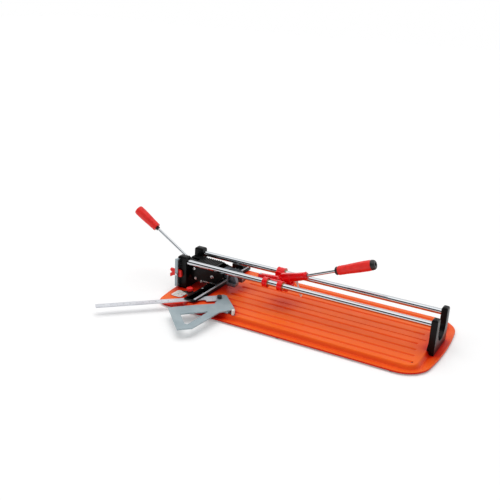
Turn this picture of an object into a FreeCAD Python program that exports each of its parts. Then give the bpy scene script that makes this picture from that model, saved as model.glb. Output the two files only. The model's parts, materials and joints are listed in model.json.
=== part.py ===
import FreeCAD, Part
import math
import os

# Manual tile cutter with a separate breaker at the fence end. All sizes in mm.
# X runs along the guide rods: the fence is at -X and the free end at +X.
# Y runs across the machine: -Y is the front. +Z is up and Z = 0 is the bench.

# ================================================================ clearances
RUN_GAP = 0.05            # radial clearance of a turning or sliding bore
SIDE_GAP = 0.4            # side clearance between pieces that move past each other
FIT_GAP = 0.1             # clearance of a fixed piece in its pocket
SCREW_GAP = 0.25          # radial clearance of a screw shank in its hole
LIFT_GAP = 0.3            # height clearance of the gauge over the deck and under the fence
OVER = 1.0                # how far a cutting tool runs past the face that it opens

# ================================================================ driving sizes: tray
BASE_L = 904.0
BASE_W = 408.0
END_BOW = 20.0            # how far each end bulges past its corners
CORNER_R_LEFT = 44.0
CORNER_R_RIGHT = 84.0
PAD_H = 4.0               # the pads lift the rim off the bench
RIM_T = 6.0
RIM_LIP = 1.2             # chamfer around the rim
RIM_LAND = 12.0           # solid rim left outside the hollow
SHEET_T = 4.0             # wall of the hollow tray
DECK_MARGIN = 22.0        # rim left in front of the deck and behind it
DECK_RISE = 12.0
DECK_R = 36.0
DECK_BEVEL = 5.0
DECK_UNDER_SUPPORT = 5.0  # how far the deck reaches under the right-hand support
RIB_T = 5.0
CROSS_RIB_N = 5
CROSS_RIB_END = 10.0      # the outer rib spacing stops this far inside the tray's end
LONG_RIB_Y = 60.0
CENTRE_BOSS_R = 24.0

# grooves, drain slot and the two fixing holes in the deck
GROOVE_N = 4              # grooves on each side of the anvil strip
GROOVE_W = 7.0
GROOVE_D = 2.4
GROOVE_FIRST = 35.0       # innermost groove from the centre line
GROOVE_MARGIN = 30.0      # outermost groove from the deck's side
GROOVE_START = 54.0       # from the fence face to the innermost groove
GROOVE_STOP = 42.0        # from the innermost groove to the deck's free end
GROOVE_STEP = 7.0         # each groove lies this much further out than the one inside it
SLOT_L = 12.0
SLOT_W = 4.5
SLOT_FROM_FENCE = 26.0
SLOT_Y = 2.0
HOLE_R = 2.6
HOLE_FROM_END = 22.0
HOLE_FROM_SIDE = 32.0

# anvil strip
ANVIL_W = 7.0
ANVIL_SINK = 2.0
ANVIL_PROUD = 1.5
ANVIL_EDGE = 1.2
ANVIL_START = 58.0        # from the fence face
ANVIL_STOP = 28.0         # from the deck's free end

# pads under the rim
FOOT_R = 8.0
FOOT_STEM_R = 3.5
FOOT_FROM_END = 100.0
FOOT_FROM_SIDE = 12.0
CENTRE_PAD_R = 22.0
STEM_H = RIM_T / 2.0
STEM_GAP = 0.3

# ================================================================ driving sizes: rods, supports
ROD_D = 18.0
ROD_GAP = 104.0           # centre distance of the two guide rods
ROD_Z = 101.0
ROD_EDGE = 1.0
ROD_END_GAP = 0.2
LEFT_INSET = 6.0          # from the tray's end to the left support
LEFT_T = 34.0
LEFT_COVER = 4.0          # metal left outside the end of each rod
RIGHT_INSET = 20.0
RIGHT_T = 19.0
RIGHT_COVER = 3.0
RIGHT_FLARE = 5.0         # how much the right support widens at its foot
FLARE_H = 40.0
TOWER_WALL_IN = 5.0       # metal beside each rod, towards the centre plane
TOWER_WALL_OUT = 3.0
TOWER_WALL_TOP = 11.0
TOWER_R = min(7.0, 0.42 * min(LEFT_T, RIGHT_T))
WEB_H = 26.0              # lowest point of the web between two towers, above the rim
SUPPORT_BOLT_R = 4.0
SUPPORT_BOLT_L = 24.0
SUPPORT_HEAD_R = 6.5
SUPPORT_HEAD_H = 2.6
SUPPORT_SINK = RIM_T / 2.0
SET_SCREW_R = 2.5
SET_SCREW_SINK = 0.6
SET_SOCKET_R = 1.3
SET_SOCKET_D = 2.0

# ================================================================ driving sizes: fence
FENCE_REACH = 107.0       # from the left support to the face the tile stands against
FENCE_W = 42.0
FENCE_H = 11.0            # above the deck
FENCE_FRONT = 28.0        # the bar starts this far inside the tray's front edge
FENCE_REAR = 16.0         # and stops this far inside its rear edge
FENCE_BACK_L = 40.0       # length of the raised block at the rear end
FENCE_BACK_W = 53.0       # its left side from the tile face
FENCE_BACK_H = 24.0       # above the deck
FENCE_FRONT_R = 6.0
FENCE_REAR_R = 8.0
FENCE_EDGE = 1.5
NOTCH_H = 8.5             # height of the notch over the gauge, above the deck
NOTCH_L = 60.0            # from the gauge pivot to the notch's end
RAIL_W = 7.0
RAIL_H = 3.0
RAIL_SINK = 1.0
RAIL_INSET = 2.0          # rail edge from the tile face
RAIL_FRONT = 8.0
RAIL_REAR = 1.0
FENCE_SCREW_R = 3.0
FENCE_HEAD_R = 5.5
FENCE_HEAD_H = 2.8
FENCE_SCREW_X = 10.0      # from the bar's left edge
FENCE_SCREW_D = 3.0       # depth in the deck
FENCE_SCREW_FRONT = 14.0  # front screw from the notch's end
FENCE_SCREW_REAR = 54.0   # rear screw from the bar's end
FENCE_SCREW_MID = 62.0

# ================================================================ driving sizes: breaker
PLATE_T = 4.5
PLATE_DROP = 13.0         # plate top below the rod axis
PLATE_FOOT_H = 36.0       # plate height where it sits in the support
PLATE_INSET = 6.0         # from the support's outer face
PLATE_STEP = 2.0          # the lower edge clears the fence top by this much
PLATE_UNDER = 5.0         # lower edge below the lower spacer
PLATE_LOW_X = (10.0, 60.0)  # the low stretch of the lower edge, from the support
PLATE_NECK = 9.0          # from the fence face back to where the plate narrows
PLATE_NOSE = 18.0         # the tip of the plate stands this far past the fence face
PLATE_NOSE_DROP = 4.0
PLATE_NOSE_SHARE = 0.22   # nose radius as a share of the height over the fence
SHAFT_X_IN = 19.0         # lever shaft from the support's outer face
SHAFT_DROP = 27.0         # lever shaft below the rod axis
SHAFT_R = 6.0
SHAFT_IN_TOWER = 6.0
SHAFT_EDGE = 0.8
CAM_R = 14.0
CAM_OFF = 6.0
CAM_FROM_SOCKET = 2.0
HUB_R = 12.0
HUB_SIDE = 3.0            # the hub runs this far past the cams
HUB_GAP = 4.5             # between hub and plate
HUB_CLEAR = 1.0           # between the turning cams and the support
LEVER_DEG = 32.0          # rest angle of the breaker lever above the -X direction
LEVER_TURN = 80.0         # full working turn of the lever
LEVER_RISE = 7.0          # lever rod axis above the shaft axis
LEVER_ROD_R = 4.75
LEVER_ROD_L = 186.0
LEVER_ROD_START = 17.0
SOCKET_R = 8.0
SOCKET_L = 30.0
COLLAR_R = 7.5
COLLAR_L = 9.0
COLLAR_FROM_TIP = 30.0
GRIP_L = 104.0
GRIP_R = 17.0
ROCKER_AHEAD = 30.0       # rocker pin from the lever shaft
ROCKER_ABOVE = 4.0
ROCKER_PIN_R = 4.0
ROCKER_HEAD_R = 5.4
ROCKER_HEAD_H = 2.0
ROCKER_TOP_H = 21.0       # rocker top above the lever shaft
ROCKER_TOP_T = 4.6
ROCKER_SIDE = 1.5         # between rocker and plate
ROCKER_CHEEK = 4.5
ROCKER_X_IN = 6.0         # rocker's left end from the support's outer face
ROCKER_TAIL = 17.0        # rocker's right end from the fence face
RIB_H = 2.0
RIB_W = 3.6
RIB_PITCH = 8.0
CHEEK_DEPTH = 12.0        # lowest point of the cheek below the rocker pin
CHEEK_BOSS_R = 8.0
LEVER_SLOT_END = 2.0      # the lever's slot ends this far before the rocker pin
LEVER_SLOT_SIDE = 1.2     # cheek of metal between slot and cam
FOOT_PIN_PAST = 4.0       # presser pin past the fence face
FOOT_PIN_DROP = 1.0       # below the rocker pin
FOOT_PIN_R = 4.0
FOOT_HUB = 9.0            # half size of the presser foot's bridge
FOOT_HUB_R = 3.0
SHOE_GAP = 33.0           # shoe from the fence face
SHOE_L = 32.0
SHOE_IN = 12.0
SHOE_OUT = 36.0
SHOE_OVER = 15.0          # shoe above the fence top
SHOE_T = 8.0
SHOE_WALL = 5.0
SHOE_STEP = 10.0
PRESS_PAD_T = 2.5
PRESS_PAD_INSET = 1.0
SPACER_X = (22.0, 45.0)   # from the left support
SPACER_UNDER = (21.0, 27.0)   # below the rocker's cheeks
SPACER_R = 5.0
SPACER_BOLT_R = 2.5
SPACER_BOLT_D = 10.0
SPACER_BOLT_GAP = 2.0
BOLT_HEAD_R = 4.5
BOLT_HEAD_H = 3.0
FIX_BOLT_LOW = (8.0, 7.0)    # from the support's inner face, above the plate's foot
FIX_BOLT_HIGH = (10.0, 5.0)  # from the support's outer face, below the plate's top
FIX_BOLT_D = 9.0
FIX_HEAD_R = 4.2
FIX_HEAD_H = 1.2
TRIM_X = (52.0, 96.0)     # bright strip on the front plate, from the left support
TRIM_OVER = 6.5
TRIM_H = 3.0
TRIM_T = 2.0

# ================================================================ driving sizes: carriage
CARRIAGE_AT = 177.0       # from the fence face to the carriage's left ring, at rest
CARRIAGE_L = 69.0
RING_L = 17.0
BUSH_WALL = 3.0
RING_WALL = 3.5
BUSH_PROUD = 1.0
BACK_L = 28.0             # length of the single back bearing
BACK_PROUD = 2.0          # it starts this far outside the front ring
BRIDGE_T = 10.0
BRIDGE_BITE = 1.0         # the bridge reaches this far into the bush's wall
BRIDGE_BELOW = 6.0        # below the rod axis
BRIDGE_ABOVE = 7.0
BACK_BELOW = 9.0
CROSS_L = 18.0
CROSS_BELOW = 31.0        # underside of the cross bar below the rod axis
CROSS_T = 9.0
LEG_SLANT = 2.0
LEG_KNEE = 3.0
LUG_IN = 13.0
LUG_T = 7.0
LUG_R = 11.0
LUG_FOOT = 4.0
PIVOT_FROM_END = 33.0     # lever pivot from the carriage's right end
PIVOT_BELOW = 4.0
PIVOT_R = 5.0
PIVOT_PROUD = 1.0
PIVOT_HEAD_R = 7.5
PIVOT_HEAD_H = 2.5

# ================================================================ driving sizes: scoring lever
SCORE_DEG = 22.0          # rest angle of the scoring lever above +X
BODY_L = 97.0
BODY_PIVOT_R = 13.0
BODY_NECK_R = 11.0
BODY_NOSE_R = 12.5
BODY_NOSE_EDGE = 4.0
BODY_NOSE_STEP = 3.0
SCORE_ROD_R = 5.5
SCORE_ROD_IN = 30.0       # in the lever body
SCORE_ROD_L = 100.0       # free length
SCORE_ROD_GRIP = 40.0     # in the collar and grip
SCORE_COLLAR_R = 13.0
SCORE_COLLAR_L = 9.0
SCORE_GRIP_R = 17.0
SCORE_GRIP_L = 110.0
CAP_L = 13.0
WHEEL_REACH = 75.0        # wheel axle from the lever pivot
WHEEL_BELOW = 21.0        # wheel axle below the rod axis
WHEEL_R = 8.0
WHEEL_T = 2.6
WHEEL_EDGE = 2.2          # height of the wheel's bevel
WHEEL_AXLE_R = 1.8
WHEEL_AXLE_PROUD = 0.6
ARM_T = 12.0
ARM_H = 11.0
ARM_OVER_WHEEL = 2.5      # seat of the wheel holder above the wheel
HOLDER_W = 10.0
HOLDER_R = 5.5
HOLDER_CHEEK = 7.5
HSCREW_R = 2.0
HSCREW_HEAD_R = 4.2
HSCREW_HEAD_H = 2.0
HSCREW_SINK = 1.6
HSCREW_D = 1.5            # depth in the holder

# ================================================================ driving sizes: gauge
GAUGE_FROM_FENCE = 20.0
GAUGE_FROM_SIDE = 29.0    # gauge pivot from the deck's front edge
GAUGE_R = 17.0
GAUGE_STEM_R = 5.0
GAUGE_STEM_H = 1.2
GAUGE_ARM_L = 54.0        # from the gauge pivot to the clamp knob
GAUGE_ARM_R = 12.0
GAUGE_ARM_DEG = -45.0     # turn of the arm from the -X direction
GAUGE_ARM_UP = 1.0
POINTER_L = 34.0
POINTER_W = 18.0
POINTER_T = 3.0
POINTER_IN = 2.0
KNOB_R = 11.0
KNOB_H = 11.0
KNOB_STEM_R = 3.0
KNOB_STEM_L = 7.0
KNOB_STEM_GAP = 0.6
KNOB_FLUTES = 12
KNOB_FLUTE_R = 2.0
KNOB_FLUTE_OUT = 0.8
KNOB_FOOT_R = 7.0
KNOB_FOOT_H = 2.0
RULE_DEG = 45.0           # direction of the rule from +X
RULE_L = 400.0
RULE_W = 24.0
RULE_T = 3.0
RULE_UP = 2.6             # underside of the rule above the deck
RULE_PIN = 82.0           # square's pin from the gauge pivot, along the rule
RULE_PIN_SIDE = 19.5      # and beside the rule's middle, towards the front
RULE_HEAD = (38.0, 14.0)  # wide inner end: where it starts from the pivot, and its extra width
RULE_PAST_PIN = 12.0
RULE_END_R = 5.0
SQ_T = 4.0
SQ_DEG = -45.0            # direction of the square's long edge from +X
SQ_CORNER = (-22.5, -106.7)   # corner of the square from the gauge pivot
SQ_LEG = 153.0
SQ_LEG_H = 45.0
SQ_WAIST = (60.0, 150.0)
SQ_HEAD_V = 201.0
SQ_HEAD_L = 66.0
SQ_CUT = 8.0              # small corner cuts
SQ_BAND = 50.0            # width of the band beside the window
SQ_PIN_R = 3.0
SQ_KNOB_R = 7.5
SQ_KNOB_H = 10.5
SQ_KNOB_FOOT_R = 6.0
SQ_KNOB_FOOT_H = 1.5
GUIDE_AT = (50.0, 172.0)  # stop guide in the square's own directions
GUIDE_L = 18.0
GUIDE_W = 8.0
GUIDE_UP = 0.5
STOP_R = 1.9
STOP_UP = 3.0
STOP_L = 44.0
STOP_BACK = 12.0
STOP_TIP = 6.0
STOP_FOOT_R = 5.5
STOP_FOOT_H = 17.0
STOP_FOOT_UP = 0.4
STOP_FOOT_EDGE = 1.0
SCALE_L = 40.0
SCALE_W = 48.0
SCALE_T = 1.2
SCALE_R = 9.0
SCALE_FROM_PIVOT = 60.0   # scale plate's right edge from the gauge pivot
SCALE_FROM_TOWER = 24.0   # scale plate's rear edge in front of the left tower

# ================================================================ driving sizes: latch
POST_OUT = 14.0           # post's outer face from the tower
POST_T = 4.0
POST_W = 11.0
POST_PROUD = 2.0          # past the support's outer face
POST_FOOT = 6.0           # above the rim
POST_HEAD = 8.0           # below the tower's top
POST_TAB = 5.0
LATCH_T = 8.0
LATCH_GAP = 0.7
LATCH_UP = 49.0           # latch pin above the rim
LATCH_PIN_R = 3.0
LATCH_PIN_D = 8.0         # depth in the tower
LATCH_HEAD_R = 4.5
LATCH_HEAD_H = 2.0
LATCH_HUB_R = 12.5
LATCH_HUB_UP = 1.0
# hook and thumb tab around the pin, as offsets from it
LATCH_OUTLINE = ((-28, -16), (-22, -13), (-16, -9), (-10.5, -7), (13.5, -10), (17.5, -6),
                 (15.5, 12), (5.5, 15), (-12.5, 14), (-26.5, 15), (-29, 8), (-21, 2),
                 (-29, -4))

# ================================================================ places worked out from them
END_X = BASE_L / 2.0
DECK_W = BASE_W - 2 * DECK_MARGIN
Z_RIM0 = PAD_H
Z_RIM = Z_RIM0 + RIM_T
Z_DECK = Z_RIM + DECK_RISE
FENCE_TOP = Z_DECK + FENCE_H
NOTCH_Z = Z_DECK + NOTCH_H

Y_ROD = ROD_GAP / 2.0
ROD_R = ROD_D / 2.0
TOWER_IN = Y_ROD - ROD_R - TOWER_WALL_IN
TOWER_OUT = Y_ROD + ROD_R + TOWER_WALL_OUT
TOWER_TOP = ROD_Z + ROD_R + TOWER_WALL_TOP
WEB_Z = Z_RIM + WEB_H
LEFT_X0 = -END_X + LEFT_INSET
LEFT_X1 = LEFT_X0 + LEFT_T
RIGHT_X1 = END_X - RIGHT_INSET
RIGHT_X0 = RIGHT_X1 - RIGHT_T
ROD_X0 = LEFT_X0 + LEFT_COVER
ROD_X1 = RIGHT_X1 - RIGHT_COVER

FENCE_X1 = LEFT_X1 + FENCE_REACH
FENCE_X0 = FENCE_X1 - FENCE_W
FENCE_Y0 = -BASE_W / 2.0 + FENCE_FRONT
FENCE_Y1 = BASE_W / 2.0 - FENCE_REAR
DECK_X0 = FENCE_X1 - FENCE_BACK_W
DECK_X1 = RIGHT_X0 + DECK_UNDER_SUPPORT
GAUGE_X = FENCE_X1 - GAUGE_FROM_FENCE
GAUGE_Y = -DECK_W / 2.0 + GAUGE_FROM_SIDE
NOTCH_Y = GAUGE_Y + NOTCH_L
RAIL_X1 = FENCE_X1 - RAIL_INSET
RAIL_X0 = RAIL_X1 - RAIL_W
FENCE_SCREWS = [(FENCE_X0 + FENCE_SCREW_X, y)
                for y in (NOTCH_Y + FENCE_SCREW_FRONT, FENCE_SCREW_MID, FENCE_Y1 - FENCE_SCREW_REAR)]

GROOVE_PITCH = (DECK_W / 2.0 - GROOVE_FIRST - GROOVE_MARGIN) / (GROOVE_N - 1)
CROSS_RIB_PITCH = (BASE_L - 2 * CROSS_RIB_END) / (CROSS_RIB_N + 1)
FOOT_X = END_X - FOOT_FROM_END
FOOT_Y = BASE_W / 2.0 - FOOT_FROM_SIDE
FOOT_PLACES = [(x, y) for x in (-FOOT_X, 0.0, FOOT_X) for y in (-FOOT_Y, FOOT_Y)]
LEFT_BOLTS = [((LEFT_X0 + LEFT_X1) / 2.0, side * Y_ROD) for side in (-1, 1)]
RIGHT_BOLTS = [((DECK_X1 + RIGHT_X1) / 2.0, side * Y_ROD) for side in (-1, 1)]
LEFT_SET_X = (LEFT_X0 + LEFT_X1) / 2.0
RIGHT_SET_X = (RIGHT_X0 + RIGHT_X1) / 2.0

PLATE_OUT = TOWER_IN
PLATE_IN = PLATE_OUT - PLATE_T
PLATE_TOP = ROD_Z - PLATE_DROP
PLATE_FOOT_Z = PLATE_TOP - PLATE_FOOT_H
PLATE_X0 = LEFT_X0 + PLATE_INSET
NOSE_R = (PLATE_TOP - FENCE_TOP) * PLATE_NOSE_SHARE
NOSE_X = FENCE_X1 + PLATE_NOSE - NOSE_R
NOSE_Z = PLATE_TOP - PLATE_NOSE_DROP - NOSE_R
SHAFT_X = LEFT_X0 + SHAFT_X_IN
SHAFT_Z = ROD_Z - SHAFT_DROP
SHAFT_Y = TOWER_IN + SHAFT_IN_TOWER
ROCKER_X = SHAFT_X + ROCKER_AHEAD
ROCKER_Z = SHAFT_Z + ROCKER_ABOVE
ROCKER_TOP = SHAFT_Z + ROCKER_TOP_H
ROCKER_HALF = PLATE_IN - ROCKER_SIDE
HUB_Y = PLATE_IN - HUB_GAP
CAM_Y0 = SOCKET_R + CAM_FROM_SOCKET
CAM_Y1 = HUB_Y - HUB_SIDE
ROCKER_X0 = LEFT_X0 + ROCKER_X_IN
ROCKER_X1 = FENCE_X1 - ROCKER_TAIL
CHEEK_IN = ROCKER_HALF - ROCKER_CHEEK
FOOT_PIN_X = FENCE_X1 + FOOT_PIN_PAST
FOOT_PIN_Z = ROCKER_Z - FOOT_PIN_DROP
SHOE_X0 = FENCE_X1 + SHOE_GAP
SHOE_X1 = SHOE_X0 + SHOE_L
SHOE_BOT = FENCE_TOP + SHOE_OVER
SHOE_TOP = FOOT_PIN_Z + SHOE_WALL
SPACERS = [(LEFT_X1 + x, ROCKER_Z - CHEEK_DEPTH - under) for x, under in zip(SPACER_X, SPACER_UNDER)]
FIX_BOLTS = [(LEFT_X1 - FIX_BOLT_LOW[0], PLATE_FOOT_Z + FIX_BOLT_LOW[1]),
             (LEFT_X0 + FIX_BOLT_HIGH[0], PLATE_TOP - FIX_BOLT_HIGH[1])]

BUSH_R = ROD_R + BUSH_WALL
RING_R = BUSH_R + RING_WALL
CAR_X0 = FENCE_X1 + CARRIAGE_AT
CAR_X1 = CAR_X0 + CARRIAGE_L
RINGS = [(CAR_X0, CAR_X0 + RING_L), (CAR_X1 - RING_L, CAR_X1)]
BACK_X0 = CAR_X0 - BACK_PROUD
BACK_X1 = BACK_X0 + BACK_L
BRIDGE_OUT = Y_ROD - BUSH_R + BRIDGE_BITE
BRIDGE_IN = BRIDGE_OUT - BRIDGE_T
BRIDGE_Z0 = ROD_Z - BRIDGE_BELOW
BRIDGE_Z1 = ROD_Z + BRIDGE_ABOVE
CROSS_X0 = CAR_X1 - CROSS_L
CROSS_Z0 = ROD_Z - CROSS_BELOW
CROSS_Z1 = CROSS_Z0 + CROSS_T
PIVOT_X = CAR_X1 - PIVOT_FROM_END
PIVOT_Z = ROD_Z - PIVOT_BELOW
LUG_OUT = LUG_IN + LUG_T
WHEEL_X = PIVOT_X - WHEEL_REACH
WHEEL_Z = ROD_Z - WHEEL_BELOW
ARM_Z = WHEEL_Z + WHEEL_R + ARM_OVER_WHEEL
ARM_TOP = ARM_Z + ARM_H

GAUGE_Z0 = Z_DECK + LIFT_GAP
GAUGE_Z1 = NOTCH_Z - LIFT_GAP
CLAMP_X = GAUGE_X - GAUGE_ARM_L * math.cos(math.radians(GAUGE_ARM_DEG))
CLAMP_Y = GAUGE_Y - GAUGE_ARM_L * math.sin(math.radians(GAUGE_ARM_DEG))
RULE_Z = Z_DECK + RULE_UP
SQ_Z = RULE_Z + RULE_T
RULE_COS = math.cos(math.radians(RULE_DEG))
RULE_SIN = math.sin(math.radians(RULE_DEG))
SQ_PIN_X = GAUGE_X + RULE_PIN * RULE_COS + RULE_PIN_SIDE * RULE_SIN
SQ_PIN_Y = GAUGE_Y + RULE_PIN * RULE_SIN - RULE_PIN_SIDE * RULE_COS
SQ_COS = math.cos(math.radians(SQ_DEG))
SQ_SIN = math.sin(math.radians(SQ_DEG))

POST_X0 = LEFT_X0 - POST_PROUD
POST_X1 = POST_X0 + POST_W
POST_Y0 = -TOWER_OUT - POST_OUT
POST_Y1 = POST_Y0 + POST_T
POST_Z0 = Z_RIM + POST_FOOT
POST_Z1 = TOWER_TOP - POST_HEAD
LATCH_X = (POST_X0 + POST_X1) / 2.0
LATCH_Z = Z_RIM + LATCH_UP
LATCH_Y1 = -TOWER_OUT - LATCH_GAP
LATCH_Y0 = LATCH_Y1 - LATCH_T

V = FreeCAD.Vector


# ================================================================ helpers
def box(x0, x1, y0, y1, z0, z1):
    return Part.makeBox(x1 - x0, y1 - y0, z1 - z0, V(x0, y0, z0))


def cyl_z(radius, x, y, z0, z1):
    return Part.makeCylinder(radius, z1 - z0, V(x, y, z0))


def cyl_y(radius, x, z, y0, y1):
    return Part.makeCylinder(radius, y1 - y0, V(x, y0, z), V(0, 1, 0))


def cyl_x(radius, y, z, x0, x1):
    return Part.makeCylinder(radius, x1 - x0, V(x0, y, z), V(1, 0, 0))


def through_y(radius, x, z):
    """Boring tool along Y through both halves of the machine."""
    return cyl_y(radius, x, z, -TOWER_OUT, TOWER_OUT)


def fuse(shapes):
    result = shapes[0]
    for shape in shapes[1:]:
        result = result.fuse(shape)
    return result.removeSplitter()


def cut(body, tools):
    for tool in tools:
        body = body.cut(tool)
    return body


def prism(corners, direction):
    return Part.Face(Part.makePolygon(corners + [corners[0]])).extrude(direction)


def prism_xy(points, z0, z1):
    return prism([V(x, y, z0) for x, y in points], V(0, 0, z1 - z0))


def prism_xz(points, y0, y1):
    return prism([V(x, y0, z) for x, z in points], V(0, y1 - y0, 0))


def prism_yz(points, x0, x1):
    return prism([V(x0, y, z) for y, z in points], V(x1 - x0, 0, 0))


def mirror_y(shape):
    return shape.mirror(V(0, 0, 0), V(0, 1, 0))


def both_sides(shape):
    return [shape, mirror_y(shape)]


def stadium(x0, x1, y, width, z0, z1):
    r = width / 2.0
    return fuse([box(x0 + r, x1 - r, y - r, y + r, z0, z1),
                 cyl_z(r, x0 + r, y, z0, z1), cyl_z(r, x1 - r, y, z0, z1)])


def along(base, axis, distance):
    """Point at a distance from base along a unit axis."""
    return tuple(b + a * distance for b, a in zip(base, axis))


def bar_along(radius, base, axis, start, end):
    return Part.makeCylinder(radius, end - start, V(*along(base, axis, start)), V(*axis))


def turned(profile, base, axis):
    """Solid of revolution: profile is a list of (distance along the axis, radius)."""
    points = [V(profile[0][0], 0, 0)]
    points += [V(s, r, 0) for s, r in profile]
    points.append(V(profile[-1][0], 0, 0))
    solid = Part.Face(Part.makePolygon(points + [points[0]])).revolve(V(0, 0, 0), V(1, 0, 0), 360)
    solid.Placement = FreeCAD.Placement(V(*base), FreeCAD.Rotation(V(1, 0, 0), V(*axis)))
    return solid


def upright_edges(shape, test):
    """Edges parallel to Z whose X and Y pass the test."""
    edges = []
    for edge in shape.Edges:
        a = edge.Vertexes[0].Point
        b = edge.Vertexes[-1].Point
        if abs(a.x - b.x) < 1e-6 and abs(a.y - b.y) < 1e-6 and test(a.x, a.y):
            edges.append(edge)
    return edges


def edges_above(shape, z):
    return [edge for edge in shape.Edges if edge.BoundBox.ZMin > z - 1e-6]


def screw(radius, shank, head_r, head_h, base, axis):
    """Screw with a round head and a drive socket: base is under the head, axis points outwards."""
    out = V(*axis).normalize()
    seat = V(*base)
    socket_r = head_r * 0.45
    socket_h = head_h * 0.6
    body = Part.makeCylinder(radius, shank, seat - out * shank, out)
    head = Part.makeCylinder(head_r, head_h, seat, out)
    socket = Part.makeCylinder(socket_r, socket_h, seat + out * (head_h - socket_h), out)
    return body.fuse(head).cut(socket)


def group(solids):
    return Part.makeCompound(solids)


def save(shape, name):
    if shape.ShapeType == "Compound" and len(shape.Solids) == 1:
        shape = shape.Solids[0]
    shape.exportStep("parts/" + name + ".step")


# ================================================================ base tray
def rim_block(z0, z1):
    """Tray outline with bowed ends and round corners."""
    hy = BASE_W / 2.0
    ex = END_X - END_BOW
    right = Part.Arc(V(ex, -hy, z0), V(END_X, 0, z0), V(ex, hy, z0)).toShape()
    rear = Part.makeLine(V(ex, hy, z0), V(-ex, hy, z0))
    left = Part.Arc(V(-ex, hy, z0), V(-END_X, 0, z0), V(-ex, -hy, z0)).toShape()
    front = Part.makeLine(V(-ex, -hy, z0), V(ex, -hy, z0))
    solid = Part.Face(Part.Wire([right, rear, left, front])).extrude(V(0, 0, z1 - z0))
    solid = solid.makeFillet(CORNER_R_RIGHT, upright_edges(solid, lambda x, y: x > 0))
    return solid.makeFillet(CORNER_R_LEFT, upright_edges(solid, lambda x, y: x < -ex + OVER))


def deck_block(inset, z0, z1):
    hy = DECK_W / 2.0 - inset
    solid = box(DECK_X0 + inset, DECK_X1 - inset, -hy, hy, z0, z1)
    return solid.makeFillet(DECK_R - inset, upright_edges(solid, lambda x, y: True))


def tray_hollow():
    """Space under the deck, with the ribs and the centre boss left standing."""
    hollow = deck_block(SHEET_T + RIM_LAND, Z_RIM0, Z_DECK - SHEET_T)
    ribs = []
    for i in range(CROSS_RIB_N):
        x = CROSS_RIB_PITCH * (i - (CROSS_RIB_N - 1) / 2.0)
        ribs.append(box(x - RIB_T / 2, x + RIB_T / 2, -BASE_W / 2, BASE_W / 2, Z_RIM0, Z_DECK))
    for y in (-LONG_RIB_Y, LONG_RIB_Y):
        ribs.append(box(DECK_X0, DECK_X1, y - RIB_T / 2, y + RIB_T / 2, Z_RIM0, Z_DECK))
    ribs.append(cyl_z(CENTRE_BOSS_R, 0, 0, Z_RIM0, Z_DECK))
    ribs.append(box(FENCE_X1 + ANVIL_START, DECK_X1 - ANVIL_STOP, -ANVIL_W, ANVIL_W,
                    Z_DECK - 2 * SHEET_T, Z_DECK))
    return cut(hollow, ribs)


def deck_grooves():
    grooves = []
    for i in range(GROOVE_N):
        x0 = FENCE_X1 + GROOVE_START + GROOVE_STEP * i
        x1 = DECK_X1 - GROOVE_STOP + GROOVE_STEP * i
        for side in (-1, 1):
            grooves.append(stadium(x0, x1, side * (GROOVE_FIRST + GROOVE_PITCH * i), GROOVE_W,
                                   Z_DECK - GROOVE_D, Z_DECK + OVER))
    return grooves


def deck_openings():
    slot_x = FENCE_X1 + SLOT_FROM_FENCE
    tools = [stadium(slot_x - SLOT_L / 2, slot_x + SLOT_L / 2, SLOT_Y, SLOT_W, 0, Z_DECK + OVER)]
    for side in (-1, 1):
        tools.append(cyl_z(HOLE_R, DECK_X1 - HOLE_FROM_END, side * (DECK_W / 2 - HOLE_FROM_SIDE),
                           0, Z_DECK + OVER))
    return tools


def pad_sockets():
    return [cyl_z(FOOT_STEM_R + FIT_GAP, x, y, Z_RIM0, Z_RIM0 + STEM_H)
            for x, y in FOOT_PLACES + [(0.0, 0.0)]]


def support_bolt_holes():
    tools = []
    for x, y in LEFT_BOLTS + RIGHT_BOLTS:
        tools.append(cyl_z(SUPPORT_BOLT_R + SCREW_GAP, x, y, Z_RIM0 - OVER, Z_RIM + OVER))
        tools.append(cyl_z(SUPPORT_HEAD_R + SCREW_GAP, x, y, Z_RIM0, Z_RIM0 + SUPPORT_SINK))
    return tools


def base_pan():
    rim = rim_block(Z_RIM0, Z_RIM)
    rim = rim.makeChamfer(RIM_LIP, edges_above(rim, Z_RIM))
    deck = deck_block(0.0, Z_RIM, Z_DECK)
    deck = deck.makeChamfer(DECK_BEVEL, edges_above(deck, Z_DECK))
    pan = fuse([rim, deck]).cut(tray_hollow())
    anvil_bed = box(FENCE_X1 + ANVIL_START - FIT_GAP, DECK_X1 - ANVIL_STOP + FIT_GAP,
                    -ANVIL_W / 2 - FIT_GAP, ANVIL_W / 2 + FIT_GAP,
                    Z_DECK - ANVIL_SINK, Z_DECK + OVER)
    fence_holes = [cyl_z(FENCE_SCREW_R + FIT_GAP, x, y, Z_DECK - FENCE_SCREW_D - FIT_GAP,
                         Z_DECK + OVER) for x, y in FENCE_SCREWS]
    return cut(pan, deck_grooves() + [anvil_bed] + deck_openings() + pad_sockets()
               + support_bolt_holes() + fence_holes)


def anvil_strip():
    top = Z_DECK + ANVIL_PROUD
    strip = box(FENCE_X1 + ANVIL_START, DECK_X1 - ANVIL_STOP, -ANVIL_W / 2, ANVIL_W / 2,
                Z_DECK - ANVIL_SINK, top)
    long_edges = [edge for edge in edges_above(strip, top) if edge.BoundBox.XLength > ANVIL_W]
    return strip.makeChamfer(ANVIL_EDGE, long_edges)


def pad(radius, x, y):
    stem = cyl_z(FOOT_STEM_R, x, y, 0, PAD_H + STEM_H - STEM_GAP)
    return fuse([cyl_z(radius, x, y, 0, PAD_H), stem])


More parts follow.
